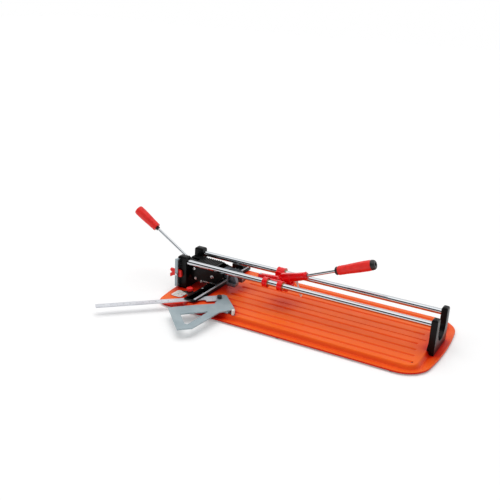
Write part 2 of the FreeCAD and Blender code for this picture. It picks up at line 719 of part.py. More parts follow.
# ================================================================ rod supports
def support(x0, x1, flare):
    """Two towers joined by a web with a round bowl, wider at the foot towards the deck."""
    profile = [(x0 - flare, Z_RIM), (x1, Z_RIM), (x1, TOWER_TOP), (x0, TOWER_TOP),
               (x0, Z_RIM + FLARE_H)]
    block = prism_xz(profile, -TOWER_OUT, TOWER_OUT)
    bowl_z = WEB_Z + TOWER_IN
    bowl = cyl_x(TOWER_IN, 0, bowl_z, x0 - flare - OVER, x1 + OVER)
    mouth = box(x0 - flare - OVER, x1 + OVER, -TOWER_IN, TOWER_IN, bowl_z, TOWER_TOP + OVER)
    block = cut(block, [bowl, mouth])
    return block.makeFillet(TOWER_R, edges_above(block, TOWER_TOP))


def set_screw_holes(x):
    return [cyl_z(SET_SCREW_R + FIT_GAP, x, side * Y_ROD, ROD_Z, TOWER_TOP + OVER)
            for side in (-1, 1)]


def foot_holes(places):
    """Tapped holes for the bolts that come up through the rim."""
    top = Z_RIM0 + SUPPORT_SINK + SUPPORT_BOLT_L
    return [cyl_z(SUPPORT_BOLT_R + FIT_GAP, x, y, Z_RIM - OVER, top) for x, y in places]


def breaker_pockets():
    """Room in the left support for the breaker's plates, their bolts and the turning cams."""
    hub_y = HUB_Y + SIDE_GAP
    tools = [cyl_y(CAM_R + CAM_OFF + HUB_CLEAR, SHAFT_X, SHAFT_Z, -hub_y, hub_y)]
    for x, z in FIX_BOLTS:
        tools += both_sides(cyl_y(FIX_HEAD_R + SCREW_GAP, x, z, -PLATE_IN,
                                  -PLATE_IN + FIX_HEAD_H + SIDE_GAP))
        tools += both_sides(cyl_y(SPACER_BOLT_R + FIT_GAP, x, z, -TOWER_IN - FIX_BOLT_D - FIT_GAP,
                                  -TOWER_IN + FIT_GAP))
    tools += both_sides(box(PLATE_X0 - FIT_GAP, LEFT_X1 + OVER, -PLATE_OUT, -PLATE_IN + FIT_GAP,
                            PLATE_FOOT_Z - FIT_GAP, PLATE_TOP))
    return tools


def left_support():
    bores = [cyl_x(ROD_R + FIT_GAP, side * Y_ROD, ROD_Z, ROD_X0, LEFT_X1 + OVER)
             for side in (-1, 1)]
    shaft_bore = cyl_y(SHAFT_R + FIT_GAP, SHAFT_X, SHAFT_Z, -SHAFT_Y - FIT_GAP, SHAFT_Y + FIT_GAP)
    latch_hole = cyl_y(LATCH_PIN_R + FIT_GAP, LATCH_X, LATCH_Z, -TOWER_OUT - OVER,
                       -TOWER_OUT + LATCH_PIN_D + FIT_GAP)
    return cut(support(LEFT_X0, LEFT_X1, 0.0),
               bores + set_screw_holes(LEFT_SET_X) + foot_holes(LEFT_BOLTS) + breaker_pockets()
               + [shaft_bore, latch_hole])


def right_support():
    bores = [cyl_x(ROD_R + FIT_GAP, side * Y_ROD, ROD_Z, RIGHT_X0 - RIGHT_FLARE, ROD_X1)
             for side in (-1, 1)]
    step = deck_block(-FIT_GAP, 0, Z_DECK + FIT_GAP)
    return cut(support(RIGHT_X0, RIGHT_X1, RIGHT_FLARE),
               bores + [step] + set_screw_holes(RIGHT_SET_X) + foot_holes(RIGHT_BOLTS))


def support_bolts(places):
    seat = Z_RIM0 + SUPPORT_SINK
    return group([screw(SUPPORT_BOLT_R, SUPPORT_BOLT_L, SUPPORT_HEAD_R, SUPPORT_HEAD_H,
                        (x, y, seat), (0, 0, -1)) for x, y in places])


def rod_set_screws():
    screws = []
    top = TOWER_TOP - SET_SCREW_SINK
    for x in (LEFT_SET_X, RIGHT_SET_X):
        for side in (-1, 1):
            shank = cyl_z(SET_SCREW_R, x, side * Y_ROD, ROD_Z + ROD_R, top)
            screws.append(shank.cut(cyl_z(SET_SOCKET_R, x, side * Y_ROD, top - SET_SOCKET_D, top)))
    return group(screws)


def guide_rod(side):
    rod = cyl_x(ROD_R, side * Y_ROD, ROD_Z, ROD_X0 + ROD_END_GAP, ROD_X1 - ROD_END_GAP)
    end_edges = [edge for edge in rod.Edges if edge.BoundBox.XLength < ROD_EDGE]
    return rod.makeChamfer(ROD_EDGE, end_edges)


# ================================================================ fence
def fence_bar():
    bar = fuse([box(FENCE_X0, FENCE_X1, FENCE_Y0, FENCE_Y1, Z_DECK, FENCE_TOP),
                box(DECK_X0, RAIL_X0 - OVER, FENCE_Y1 - FENCE_BACK_L, FENCE_Y1, Z_DECK,
                    Z_DECK + FENCE_BACK_H)])
    bar = bar.makeFillet(FENCE_FRONT_R, upright_edges(bar, lambda x, y: y < FENCE_Y0 + OVER))
    bar = bar.makeFillet(FENCE_REAR_R, upright_edges(
        bar, lambda x, y: y > FENCE_Y1 - OVER and x < FENCE_X0))
    bar = bar.cut(box(FENCE_X0 - OVER, FENCE_X1 + OVER, FENCE_Y0 - OVER, NOTCH_Y, 0, NOTCH_Z))
    top_edges = [edge for edge in edges_above(bar, FENCE_TOP)
                 if edge.BoundBox.YLength > FENCE_W - 2 * FENCE_EDGE - OVER]
    bar = bar.makeChamfer(FENCE_EDGE, top_edges)
    groove = box(RAIL_X0 - FIT_GAP, RAIL_X1 + FIT_GAP, FENCE_Y0 + RAIL_FRONT - FIT_GAP,
                 FENCE_Y1 - RAIL_REAR + FIT_GAP, FENCE_TOP - RAIL_SINK, FENCE_TOP + OVER)
    holes = [cyl_z(FENCE_SCREW_R + SCREW_GAP, x, y, Z_DECK - OVER, FENCE_TOP + OVER)
             for x, y in FENCE_SCREWS]
    stem_bore = cyl_z(GAUGE_STEM_R + RUN_GAP, GAUGE_X, GAUGE_Y, NOTCH_Z - FIT_GAP,
                      GAUGE_Z1 + GAUGE_STEM_H + 2 * LIFT_GAP)
    return cut(bar, [groove] + holes + [stem_bore])


def fence_scale_rail():
    z0 = FENCE_TOP - RAIL_SINK
    return box(RAIL_X0, RAIL_X1, FENCE_Y0 + RAIL_FRONT, FENCE_Y1 - RAIL_REAR, z0, z0 + RAIL_H)


def fence_screws():
    shank = FENCE_TOP - Z_DECK + FENCE_SCREW_D
    return group([screw(FENCE_SCREW_R, shank, FENCE_HEAD_R, FENCE_HEAD_H, (x, y, FENCE_TOP),
                        (0, 0, 1)) for x, y in FENCE_SCREWS])


# ================================================================ gauge on the fence
def about_gauge(shape, degrees):
    shape.rotate(V(GAUGE_X, GAUGE_Y, 0), V(0, 0, 1), degrees)
    return shape


def along_rule(shape):
    return about_gauge(shape, RULE_DEG)


def gauge_arm():
    """Arm with the clamp's boss, made along -X and then turned, and its pointer."""
    z0 = GAUGE_Z0 + GAUGE_ARM_UP
    y0, y1 = GAUGE_Y - GAUGE_ARM_R, GAUGE_Y + GAUGE_ARM_R
    boss_x = GAUGE_X - GAUGE_ARM_L
    arm = fuse([box(boss_x, GAUGE_X, y0, y1, z0, GAUGE_Z1),
                cyl_z(GAUGE_ARM_R, boss_x, GAUGE_Y, z0, GAUGE_Z1)])
    root_x = CLAMP_X + POINTER_IN
    pointer = prism_xy([(root_x, CLAMP_Y - POINTER_W / 2), (root_x, CLAMP_Y + POINTER_W / 2),
                        (root_x - POINTER_L, CLAMP_Y)], z0, z0 + POINTER_T)
    return fuse([about_gauge(arm, GAUGE_ARM_DEG), pointer])


def gauge_block():
    pieces = [cyl_z(GAUGE_R, GAUGE_X, GAUGE_Y, GAUGE_Z0, GAUGE_Z1), gauge_arm()]
    half = RULE_W / 2 + RUN_GAP
    reach = GAUGE_R + GAUGE_ARM_L + GAUGE_ARM_R
    slot = along_rule(box(GAUGE_X - reach, GAUGE_X + reach, GAUGE_Y - half, GAUGE_Y + half,
                          RULE_Z - RUN_GAP, RULE_Z + RULE_T + RUN_GAP))
    block = fuse(pieces).cut(slot)
    stem = cyl_z(GAUGE_STEM_R, GAUGE_X, GAUGE_Y, GAUGE_Z1, GAUGE_Z1 + GAUGE_STEM_H)
    clamp_hole = cyl_z(KNOB_STEM_R + RUN_GAP, CLAMP_X, CLAMP_Y,
                       GAUGE_Z1 - KNOB_STEM_L - KNOB_STEM_GAP, GAUGE_Z1 + OVER)
    return fuse([block, stem]).cut(clamp_hole)


def gauge_knob():
    z0 = GAUGE_Z1 + SIDE_GAP
    shoulder = KNOB_R - 1.5
    profile = [(0, KNOB_FOOT_R), (KNOB_FOOT_H, KNOB_FOOT_R), (KNOB_FOOT_H, shoulder),
               (2 * KNOB_FOOT_H, KNOB_R), (KNOB_H, KNOB_R), (KNOB_H + KNOB_FOOT_H, KNOB_R - 3)]
    knob = turned(profile, (CLAMP_X, CLAMP_Y, z0), (0, 0, 1))
    flute_r = KNOB_R + KNOB_FLUTE_OUT
    for i in range(KNOB_FLUTES):
        a = 2 * math.pi * i / KNOB_FLUTES
        knob = knob.cut(cyl_z(KNOB_FLUTE_R, CLAMP_X + flute_r * math.cos(a),
                              CLAMP_Y + flute_r * math.sin(a), z0 + KNOB_FOOT_H - SIDE_GAP,
                              z0 + KNOB_H + KNOB_FOOT_H + OVER))
    stem = cyl_z(KNOB_STEM_R, CLAMP_X, CLAMP_Y, GAUGE_Z1 - KNOB_STEM_L, z0 + KNOB_FOOT_H)
    return fuse([knob, stem])


def gauge_rule():
    x1 = GAUGE_X + RULE_PIN + RULE_PAST_PIN
    side = GAUGE_Y + RULE_W / 2
    head_x, head_w = GAUGE_X + RULE_HEAD[0], RULE_HEAD[1]
    rule = fuse([box(x1 - RULE_L, x1, side - RULE_W, side, RULE_Z, RULE_Z + RULE_T),
                 box(head_x, x1, side - RULE_W - head_w, side, RULE_Z, RULE_Z + RULE_T)])
    rule = rule.makeFillet(RULE_END_R, upright_edges(rule, lambda x, y: x > GAUGE_X))
    rule = along_rule(rule)
    return rule.cut(cyl_z(SQ_PIN_R + SCREW_GAP, SQ_PIN_X, SQ_PIN_Y, RULE_Z - OVER, SQ_Z + OVER))


def square_xy(u, v):
    """Point in the square's own directions: u along its long edge, v across it."""
    x = GAUGE_X + SQ_CORNER[0] + u * SQ_COS - v * SQ_SIN
    y = GAUGE_Y + SQ_CORNER[1] + u * SQ_SIN + v * SQ_COS
    return (x, y)


def square_outline():
    u1, v1 = SQ_WAIST
    head = SQ_HEAD_V
    points = [(0, 0), (SQ_LEG - 1, 0), (SQ_LEG, 1), (SQ_LEG, SQ_LEG_H), (u1, v1),
              (u1 - 9, head - 5), (u1 - 14, head), (SQ_CUT - SQ_HEAD_L, head),
              (-SQ_HEAD_L, head - SQ_CUT), (-SQ_HEAD_L, head - 30), (-29, head - 37),
              (-3, head - 53), (-4, head - 110)]
    return [square_xy(u, v) for u, v in points]


def square_window():
    points = [(SQ_BAND + 2, 29), (SQ_LEG - 33, 28), (SQ_LEG - 27, 36), (SQ_BAND + 3, 114),
              (SQ_BAND - 1, 112)]
    return [square_xy(u, v) for u, v in points]


def square_plate():
    plate = prism_xy(square_outline(), SQ_Z, SQ_Z + SQ_T)
    plate = plate.cut(prism_xy(square_window(), SQ_Z - OVER, SQ_Z + SQ_T + OVER))
    plate = plate.cut(cyl_z(SQ_PIN_R + SCREW_GAP, SQ_PIN_X, SQ_PIN_Y, SQ_Z - OVER,
                            SQ_Z + SQ_T + OVER))
    x, y = square_xy(*GUIDE_AT)
    guide = box(x - GUIDE_L / 2, x + GUIDE_L / 2, y - GUIDE_W / 2, y + GUIDE_W / 2,
                Z_DECK + GUIDE_UP, SQ_Z)
    bore = cyl_x(STOP_R + RUN_GAP, y, STOP_Z, x - GUIDE_L, x + GUIDE_L)
    return fuse([plate, guide]).cut(bore)


STOP_Z = Z_DECK + GUIDE_UP + STOP_UP
STOP_X0 = square_xy(*GUIDE_AT)[0] - STOP_BACK
STOP_Y = square_xy(*GUIDE_AT)[1]
STOP_FOOT_X = STOP_X0 + STOP_L - STOP_TIP


def square_stop_rod():
    return cyl_x(STOP_R, STOP_Y, STOP_Z, STOP_X0, STOP_X0 + STOP_L)


def square_stop_foot():
    z0 = Z_DECK + STOP_FOOT_UP
    foot = cyl_z(STOP_FOOT_R, STOP_FOOT_X, STOP_Y, z0, z0 + STOP_FOOT_H)
    foot = foot.makeChamfer(STOP_FOOT_EDGE, edges_above(foot, z0 + STOP_FOOT_H))
    return foot.cut(cyl_x(STOP_R + FIT_GAP, STOP_Y, STOP_Z, STOP_FOOT_X - 2 * STOP_FOOT_R,
                          STOP_FOOT_X + 2 * STOP_FOOT_R))


def square_knob():
    foot = SQ_KNOB_FOOT_H
    profile = [(0, SQ_KNOB_FOOT_R), (foot, SQ_KNOB_FOOT_R), (foot, SQ_KNOB_R),
               (SQ_KNOB_H - foot, SQ_KNOB_R), (SQ_KNOB_H, SQ_KNOB_FOOT_R)]
    knob = turned(profile, (SQ_PIN_X, SQ_PIN_Y, SQ_Z + SQ_T), (0, 0, 1))
    stem = cyl_z(SQ_PIN_R, SQ_PIN_X, SQ_PIN_Y, RULE_Z - GUIDE_UP, SQ_Z + SQ_T)
    return fuse([knob, stem])


def angle_scale_plate():
    x1 = GAUGE_X - SCALE_FROM_PIVOT
    y1 = -TOWER_OUT - SCALE_FROM_TOWER
    plate = box(x1 - SCALE_L, x1, y1 - SCALE_W, y1, Z_RIM, Z_RIM + SCALE_T)
    return plate.makeFillet(SCALE_R, upright_edges(plate, lambda px, py: True))


# ================================================================ transport latch
def edge_post():
    post = fuse([box(POST_X0, POST_X1, POST_Y0, POST_Y1, POST_Z0, POST_Z1),
                 box(LEFT_X0, POST_X1, POST_Y0, -TOWER_OUT, POST_Z0, POST_Z0 + POST_TAB),
                 box(LEFT_X0, POST_X1, POST_Y0, -TOWER_OUT, POST_Z1 - POST_TAB, POST_Z1)])
    return post.cut(cyl_y(LATCH_PIN_R + FIT_GAP, LATCH_X, LATCH_Z, POST_Y0 - OVER, POST_Y1 + OVER))


def transport_latch():
    outline = [(LATCH_X + dx, LATCH_Z + dz) for dx, dz in LATCH_OUTLINE]
    latch = fuse([prism_xz(outline, LATCH_Y0, LATCH_Y1),
                  cyl_y(LATCH_HUB_R, LATCH_X, LATCH_Z + LATCH_HUB_UP, LATCH_Y0, LATCH_Y1)])
    return latch.cut(cyl_y(LATCH_PIN_R + RUN_GAP, LATCH_X, LATCH_Z, LATCH_Y0 - OVER,
                           LATCH_Y1 + OVER))


def latch_pin():
    return fuse([cyl_y(LATCH_PIN_R, LATCH_X, LATCH_Z, POST_Y0, -TOWER_OUT + LATCH_PIN_D),
                 cyl_y(LATCH_HEAD_R, LATCH_X, LATCH_Z, POST_Y0 - LATCH_HEAD_H, POST_Y0)])


# ================================================================ breaker housing
def breaker_plate():
    """Front side plate: sits in the support's pocket and ends in a round nose over the fence."""
    neck_x = FENCE_X1 - PLATE_NECK
    low_x0, low_x1 = LEFT_X1 + PLATE_LOW_X[0], LEFT_X1 + PLATE_LOW_X[1]
    low_z = min(z for x, z in SPACERS) - PLATE_UNDER
    outline = [(PLATE_X0, PLATE_FOOT_Z), (PLATE_X0, PLATE_TOP), (neck_x, PLATE_TOP),
               (NOSE_X, NOSE_Z + NOSE_R), (NOSE_X, NOSE_Z - NOSE_R),
               (neck_x, FENCE_TOP + PLATE_STEP), (low_x1, low_z), (low_x0, low_z),
               (LEFT_X1 + PLATE_STEP, PLATE_FOOT_Z)]
    plate = fuse([prism_xz(outline, -PLATE_OUT, -PLATE_IN),
                  cyl_y(NOSE_R, NOSE_X, NOSE_Z, -PLATE_OUT, -PLATE_IN)])
    bores = [through_y(SHAFT_R + FIT_GAP, SHAFT_X, SHAFT_Z),
             through_y(ROCKER_PIN_R + FIT_GAP, ROCKER_X, ROCKER_Z)]
    bores += [through_y(SPACER_BOLT_R + FIT_GAP, x, z) for x, z in SPACERS + FIX_BOLTS]
    return cut(plate, bores)


def breaker_spacers():
    depth = SPACER_BOLT_D + SPACER_BOLT_GAP
    spacers = []
    for x, z in SPACERS:
        rod = cyl_y(SPACER_R, x, z, -PLATE_IN, PLATE_IN)
        hole = cyl_y(SPACER_BOLT_R + FIT_GAP, x, z, -PLATE_IN - OVER, -PLATE_IN + depth)
        spacers.append(cut(rod, both_sides(hole)))
    return group(spacers)


def breaker_bolts():
    bolts = []
    for x, z in SPACERS:
        bolts += both_sides(screw(SPACER_BOLT_R, PLATE_T + SPACER_BOLT_D, BOLT_HEAD_R, BOLT_HEAD_H,
                                  (x, -PLATE_OUT, z), (0, -1, 0)))
    for x, z in FIX_BOLTS:
        shank = cyl_y(SPACER_BOLT_R, x, z, -PLATE_OUT - FIX_BOLT_D, -PLATE_IN)
        head = cyl_y(FIX_HEAD_R, x, z, -PLATE_IN, -PLATE_IN + FIX_HEAD_H)
        bolts += both_sides(fuse([shank, head]))
    return group(bolts)


def breaker_shaft():
    shaft = cyl_y(SHAFT_R, SHAFT_X, SHAFT_Z, -SHAFT_Y, SHAFT_Y)
    end_edges = [edge for edge in shaft.Edges if edge.BoundBox.YLength < SHAFT_EDGE]
    return shaft.makeChamfer(SHAFT_EDGE, end_edges)


def rocker_pin():
    heads = both_sides(cyl_y(ROCKER_HEAD_R, ROCKER_X, ROCKER_Z, -PLATE_OUT - ROCKER_HEAD_H,
                             -PLATE_OUT))
    return fuse([cyl_y(ROCKER_PIN_R, ROCKER_X, ROCKER_Z, -PLATE_OUT, PLATE_OUT)] + heads)


def breaker_trim_strip():
    z0 = FENCE_TOP + TRIM_OVER
    return box(LEFT_X1 + TRIM_X[0], LEFT_X1 + TRIM_X[1], -PLATE_OUT - TRIM_T, -PLATE_OUT,
               z0, z0 + TRIM_H)


# ================================================================ breaker lever
LEVER_AXIS = (-math.cos(math.radians(LEVER_DEG)), 0.0, math.sin(math.radians(LEVER_DEG)))
LEVER_LIFT = LEVER_RISE * math.cos(math.radians(LEVER_DEG))
LEVER_BASE = (SHAFT_X + LEVER_LIFT * LEVER_AXIS[2], 0.0, SHAFT_Z - LEVER_LIFT * LEVER_AXIS[0])
LEVER_TIP = LEVER_ROD_START + LEVER_ROD_L
COLLAR_S = LEVER_TIP - COLLAR_FROM_TIP
GRIP_S = COLLAR_S + COLLAR_L


def on_lever(radius, start, end):
    return bar_along(radius, LEVER_BASE, LEVER_AXIS, start, end)


def breaker_hub():
    """Hub with two cams that lift the rocker's tail, and the socket of the lever rod."""
    cam_angle = math.radians(90 + LEVER_TURN)
    cam_x = SHAFT_X + CAM_OFF * math.cos(cam_angle)
    cam_z = SHAFT_Z + CAM_OFF * math.sin(cam_angle)
    pieces = [cyl_y(HUB_R, SHAFT_X, SHAFT_Z, -HUB_Y, HUB_Y)]
    pieces += both_sides(cyl_y(CAM_R, cam_x, cam_z, -CAM_Y1, -CAM_Y0))
    pieces.append(on_lever(SOCKET_R, 0, SOCKET_L))
    return cut(fuse(pieces), [through_y(SHAFT_R + RUN_GAP, SHAFT_X, SHAFT_Z),
                              on_lever(LEVER_ROD_R + FIT_GAP, LEVER_ROD_START, SOCKET_L + OVER)])


def breaker_lever_rod():
    return on_lever(LEVER_ROD_R, LEVER_ROD_START, LEVER_TIP)


def breaker_collar():
    return on_lever(COLLAR_R, COLLAR_S, GRIP_S).cut(
        on_lever(LEVER_ROD_R + FIT_GAP, COLLAR_S - OVER, GRIP_S + OVER))


def breaker_grip():
    shares = [(0.0, 0.56), (6.0 / GRIP_L, 0.62), (0.3, 0.86), (0.55, 1.0), (0.75, 0.94),
              (0.93, 0.78), (1.0 - 2.0 / GRIP_L, 0.66), (1.0, 0.5)]
    grip = turned([(s * GRIP_L, r * GRIP_R) for s, r in shares],
                  along(LEVER_BASE, LEVER_AXIS, GRIP_S), LEVER_AXIS)
    return grip.cut(on_lever(LEVER_ROD_R + FIT_GAP, GRIP_S - OVER, LEVER_TIP + FIT_GAP))


# ================================================================ rocker, presser foot
def rocker_cheek():
    left_x = SHAFT_X + CAM_R + 2.0
    under = ROCKER_TOP - 1.0
    low_z = ROCKER_Z - CHEEK_DEPTH
    boss_z = FOOT_PIN_Z - CHEEK_BOSS_R
    outline = [(left_x, under), (left_x, low_z + 4.0), (ROCKER_X - 6.0, low_z),
               (ROCKER_X + 8.0, low_z), (FOOT_PIN_X - 28.0, low_z + 4.0),
               (FOOT_PIN_X - CHEEK_BOSS_R, boss_z), (FOOT_PIN_X, boss_z),
               (FOOT_PIN_X, FOOT_PIN_Z + CHEEK_BOSS_R), (ROCKER_X1, under)]
    return fuse([prism_xz(outline, -ROCKER_HALF, -CHEEK_IN),
                 cyl_y(CHEEK_BOSS_R, FOOT_PIN_X, FOOT_PIN_Z, -ROCKER_HALF, -CHEEK_IN)])


def breaker_rocker():
    """Ribbed top plate with a cheek each side and a slot for the lever."""
    pieces = [box(ROCKER_X0, ROCKER_X1, -ROCKER_HALF, ROCKER_HALF, ROCKER_TOP - ROCKER_TOP_T,
                  ROCKER_TOP)]
    pieces += both_sides(rocker_cheek())
    for i in range(int((ROCKER_X1 - ROCKER_X0) / RIB_PITCH)):
        x = ROCKER_X0 + OVER + i * RIB_PITCH
        pieces.append(box(x, x + RIB_W, -ROCKER_HALF, ROCKER_HALF, ROCKER_TOP - OVER,
                          ROCKER_TOP + RIB_H))
    slot_y = CAM_Y0 - LEVER_SLOT_SIDE
    slot = box(ROCKER_X0 - OVER, ROCKER_X - LEVER_SLOT_END, -slot_y, slot_y,
               ROCKER_TOP - ROCKER_TOP_T - OVER, ROCKER_TOP + RIB_H + OVER)
    return cut(fuse(pieces), [slot, through_y(ROCKER_PIN_R + RUN_GAP, ROCKER_X, ROCKER_Z),
                              through_y(FOOT_PIN_R + FIT_GAP, FOOT_PIN_X, FOOT_PIN_Z)])


def presser_pin():
    return cyl_y(FOOT_PIN_R, FOOT_PIN_X, FOOT_PIN_Z, -ROCKER_HALF, ROCKER_HALF)


def presser_half():
    """One shoe and its arm, in front of the scoring wheel's path."""
    arm_y = CHEEK_IN - SIDE_GAP
    step_z = SHOE_BOT + SHOE_STEP
    arm = prism_xz([(FOOT_PIN_X, FOOT_PIN_Z - FOOT_HUB), (SHOE_X0, FOOT_PIN_Z - FOOT_HUB - 1.0),
                    (SHOE_X0, SHOE_BOT), (SHOE_X1, SHOE_BOT), (SHOE_X1, step_z),
                    (SHOE_X1 - SHOE_T, SHOE_TOP), (FOOT_PIN_X, FOOT_PIN_Z + FOOT_HUB)],
                   -arm_y, -SHOE_IN)
    shoe = prism_xz([(SHOE_X0, SHOE_BOT), (SHOE_X1, SHOE_BOT), (SHOE_X1, SHOE_BOT + SHOE_T),
                     (SHOE_X0 + SHOE_WALL, step_z), (SHOE_X0 + SHOE_WALL, SHOE_TOP),
                     (SHOE_X0, SHOE_TOP)], -SHOE_OUT, -arm_y + OVER)
    return fuse([arm, shoe])


def presser_foot():
    arm_y = CHEEK_IN - SIDE_GAP
    bridge = box(FOOT_PIN_X - FOOT_HUB, FOOT_PIN_X + FOOT_HUB, -arm_y, arm_y,
                 FOOT_PIN_Z - FOOT_HUB, FOOT_PIN_Z + FOOT_HUB)
    bridge = bridge.makeFillet(FOOT_HUB_R, [edge for edge in bridge.Edges
                                            if edge.BoundBox.YLength > arm_y])
    foot = fuse([bridge] + both_sides(presser_half()))
    return foot.cut(through_y(FOOT_PIN_R + RUN_GAP, FOOT_PIN_X, FOOT_PIN_Z))


def presser_pads():
    inset = PRESS_PAD_INSET
    return group(both_sides(box(SHOE_X0 + inset, SHOE_X1 - inset, -SHOE_OUT + inset,
                                -SHOE_IN - inset, SHOE_BOT - PRESS_PAD_T, SHOE_BOT)))


# ================================================================ carriage
def carriage_leg():
    """Cross bar between the two rods with a leg up to each bridge."""
    half = [(-LUG_OUT, CROSS_Z1), (-BRIDGE_IN, BRIDGE_Z1), (-BRIDGE_OUT, BRIDGE_Z1),
            (-BRIDGE_OUT, BRIDGE_Z0), (-BRIDGE_OUT + LEG_SLANT, CROSS_Z1 + LEG_KNEE),
            (-LUG_OUT, CROSS_Z0)]
    other = [(-y, z) for y, z in reversed(half)]
    return prism_yz(half + other, CROSS_X0, CAR_X1)


def carriage_lug():
    outline = [(PIVOT_X - LUG_R + 1, PIVOT_Z - 3), (PIVOT_X + 2, CROSS_Z0), (CAR_X1, CROSS_Z0),
               (CAR_X1, CROSS_Z1 + LUG_FOOT), (PIVOT_X + LUG_R - 1, PIVOT_Z + 3)]
    return fuse([cyl_y(LUG_R, PIVOT_X, PIVOT_Z, -LUG_OUT, -LUG_IN),
                 prism_xz(outline, -LUG_OUT, -LUG_IN)])


def carriage_frame():
    pieces = [cyl_x(RING_R, -Y_ROD, ROD_Z, x0, x1) for x0, x1 in RINGS]
    pieces += [cyl_x(RING_R, Y_ROD, ROD_Z, BACK_X0, BACK_X1),
               box(CAR_X0, CAR_X1, -BRIDGE_OUT, -BRIDGE_IN, BRIDGE_Z0, BRIDGE_Z1),
               box(BACK_X0, CAR_X1, BRIDGE_IN, BRIDGE_OUT, ROD_Z - BACK_BELOW, BRIDGE_Z1),
               carriage_leg()]
    pieces += both_sides(carriage_lug())
    bores = [cyl_x(BUSH_R + FIT_GAP, side * Y_ROD, ROD_Z, BACK_X0 - OVER, CAR_X1 + OVER)
             for side in (-1, 1)]
    pin_bore = cyl_y(PIVOT_R + FIT_GAP, PIVOT_X, PIVOT_Z, -LUG_OUT - OVER, LUG_OUT + OVER)
    head_room = cyl_y(PIVOT_HEAD_R + SCREW_GAP, PIVOT_X, PIVOT_Z,
                      -LUG_OUT - PIVOT_HEAD_H - SIDE_GAP, -LUG_OUT)
    return cut(fuse(pieces), bores + [pin_bore] + both_sides(head_room))


def carriage_bushes():
    spans = [(-Y_ROD, x0, x1) for x0, x1 in RINGS]
    spans.append((Y_ROD, BACK_X0, BACK_X1))
    bushes = []
    for y, x0, x1 in spans:
        bush = cyl_x(BUSH_R, y, ROD_Z, x0 - BUSH_PROUD, x1 + BUSH_PROUD)
        bushes.append(bush.cut(cyl_x(ROD_R + RUN_GAP, y, ROD_Z, x0 - 2 * OVER, x1 + 2 * OVER)))
    return group(bushes)


def lever_pin():
    pin_y = LUG_OUT + PIVOT_PROUD
    heads = both_sides(cyl_y(PIVOT_HEAD_R, PIVOT_X, PIVOT_Z, -LUG_OUT - PIVOT_HEAD_H, -LUG_OUT))
    return fuse([cyl_y(PIVOT_R, PIVOT_X, PIVOT_Z, -pin_y, pin_y)] + heads)


# ================================================================ scoring lever
SCORE_AXIS = (math.cos(math.radians(SCORE_DEG)), 0.0, math.sin(math.radians(SCORE_DEG)))
SCORE_BASE = (PIVOT_X, 0.0, PIVOT_Z)
SCORE_ROD_S = BODY_L - SCORE_ROD_IN
SCORE_COLLAR_S = BODY_L + SCORE_ROD_L
SCORE_GRIP_S = SCORE_COLLAR_S + SCORE_COLLAR_L
SCORE_TIP = SCORE_COLLAR_S + SCORE_ROD_GRIP


def on_score(radius, start, end):
    return bar_along(radius, SCORE_BASE, SCORE_AXIS, start, end)


def scoring_lever_body():
    """Lever from the pivot to the rod socket, with the arm that carries the wheel holder."""
    side = LUG_IN - SIDE_GAP
    nose = BODY_NOSE_R - BODY_NOSE_STEP
    cone = turned([(0, BODY_NECK_R), (0.45 * BODY_L, BODY_NECK_R), (0.72 * BODY_L, BODY_NOSE_R),
                   (BODY_L - BODY_NOSE_EDGE, BODY_NOSE_R), (BODY_L, nose)], SCORE_BASE, SCORE_AXIS)
    tip = WHEEL_X - HOLDER_R
    arm = prism_xz([(PIVOT_X, PIVOT_Z + BODY_NECK_R), (PIVOT_X - 14, PIVOT_Z + 9),
                    (tip + 2.5, ARM_TOP), (tip - 0.5, ARM_TOP - 3), (tip - 0.5, ARM_Z),
                    (WHEEL_X + 9, ARM_Z), (PIVOT_X - 16, PIVOT_Z - 9),
                    (PIVOT_X, PIVOT_Z - BODY_NECK_R)], -ARM_T / 2, ARM_T / 2)
    body = fuse([cyl_y(BODY_PIVOT_R, PIVOT_X, PIVOT_Z, -side, side), cone, arm])
    seat = ARM_TOP - HSCREW_SINK
    return cut(body, [through_y(PIVOT_R + RUN_GAP, PIVOT_X, PIVOT_Z),
                      on_score(SCORE_ROD_R + FIT_GAP, SCORE_ROD_S, BODY_L + OVER),
                      cyl_z(HSCREW_R + FIT_GAP, WHEEL_X, 0, ARM_Z - OVER, ARM_TOP + OVER),
                      cyl_z(HSCREW_HEAD_R + SCREW_GAP, WHEEL_X, 0, seat, ARM_TOP + OVER)])


def wheel_holder():
    """Small fork under the end of the arm."""
    half = HOLDER_W / 2
    outline = [(WHEEL_X - HOLDER_R + 0.1, WHEEL_Z), (WHEEL_X + HOLDER_R - 0.1, WHEEL_Z),
               (WHEEL_X + HOLDER_CHEEK, WHEEL_Z + 5), (WHEEL_X + HOLDER_CHEEK, ARM_Z),
               (WHEEL_X - HOLDER_R, ARM_Z)]
    holder = fuse([prism_xz(outline, -half, half), cyl_y(HOLDER_R, WHEEL_X, WHEEL_Z, -half, half)])
    gap = WHEEL_T / 2 + SIDE_GAP
    reach = WHEEL_R + 2 * SIDE_GAP
    slot = box(WHEEL_X - 2 * WHEEL_R, WHEEL_X + 2 * WHEEL_R, -gap, gap, WHEEL_Z - reach,
               WHEEL_Z + reach)
    return cut(holder, [slot, through_y(WHEEL_AXLE_R + FIT_GAP, WHEEL_X, WHEEL_Z),
                        cyl_z(HSCREW_R + FIT_GAP, WHEEL_X, 0, ARM_Z - HSCREW_D - FIT_GAP,
                              ARM_Z + OVER)])


def holder_screw():
    seat = ARM_TOP - HSCREW_SINK
    return screw(HSCREW_R, seat - ARM_Z + HSCREW_D, HSCREW_HEAD_R, HSCREW_HEAD_H,
                 (WHEEL_X, 0, seat), (0, 0, 1))


def wheel_axle():
    half = HOLDER_W / 2 + WHEEL_AXLE_PROUD
    return cyl_y(WHEEL_AXLE_R, WHEEL_X, WHEEL_Z, -half, half)


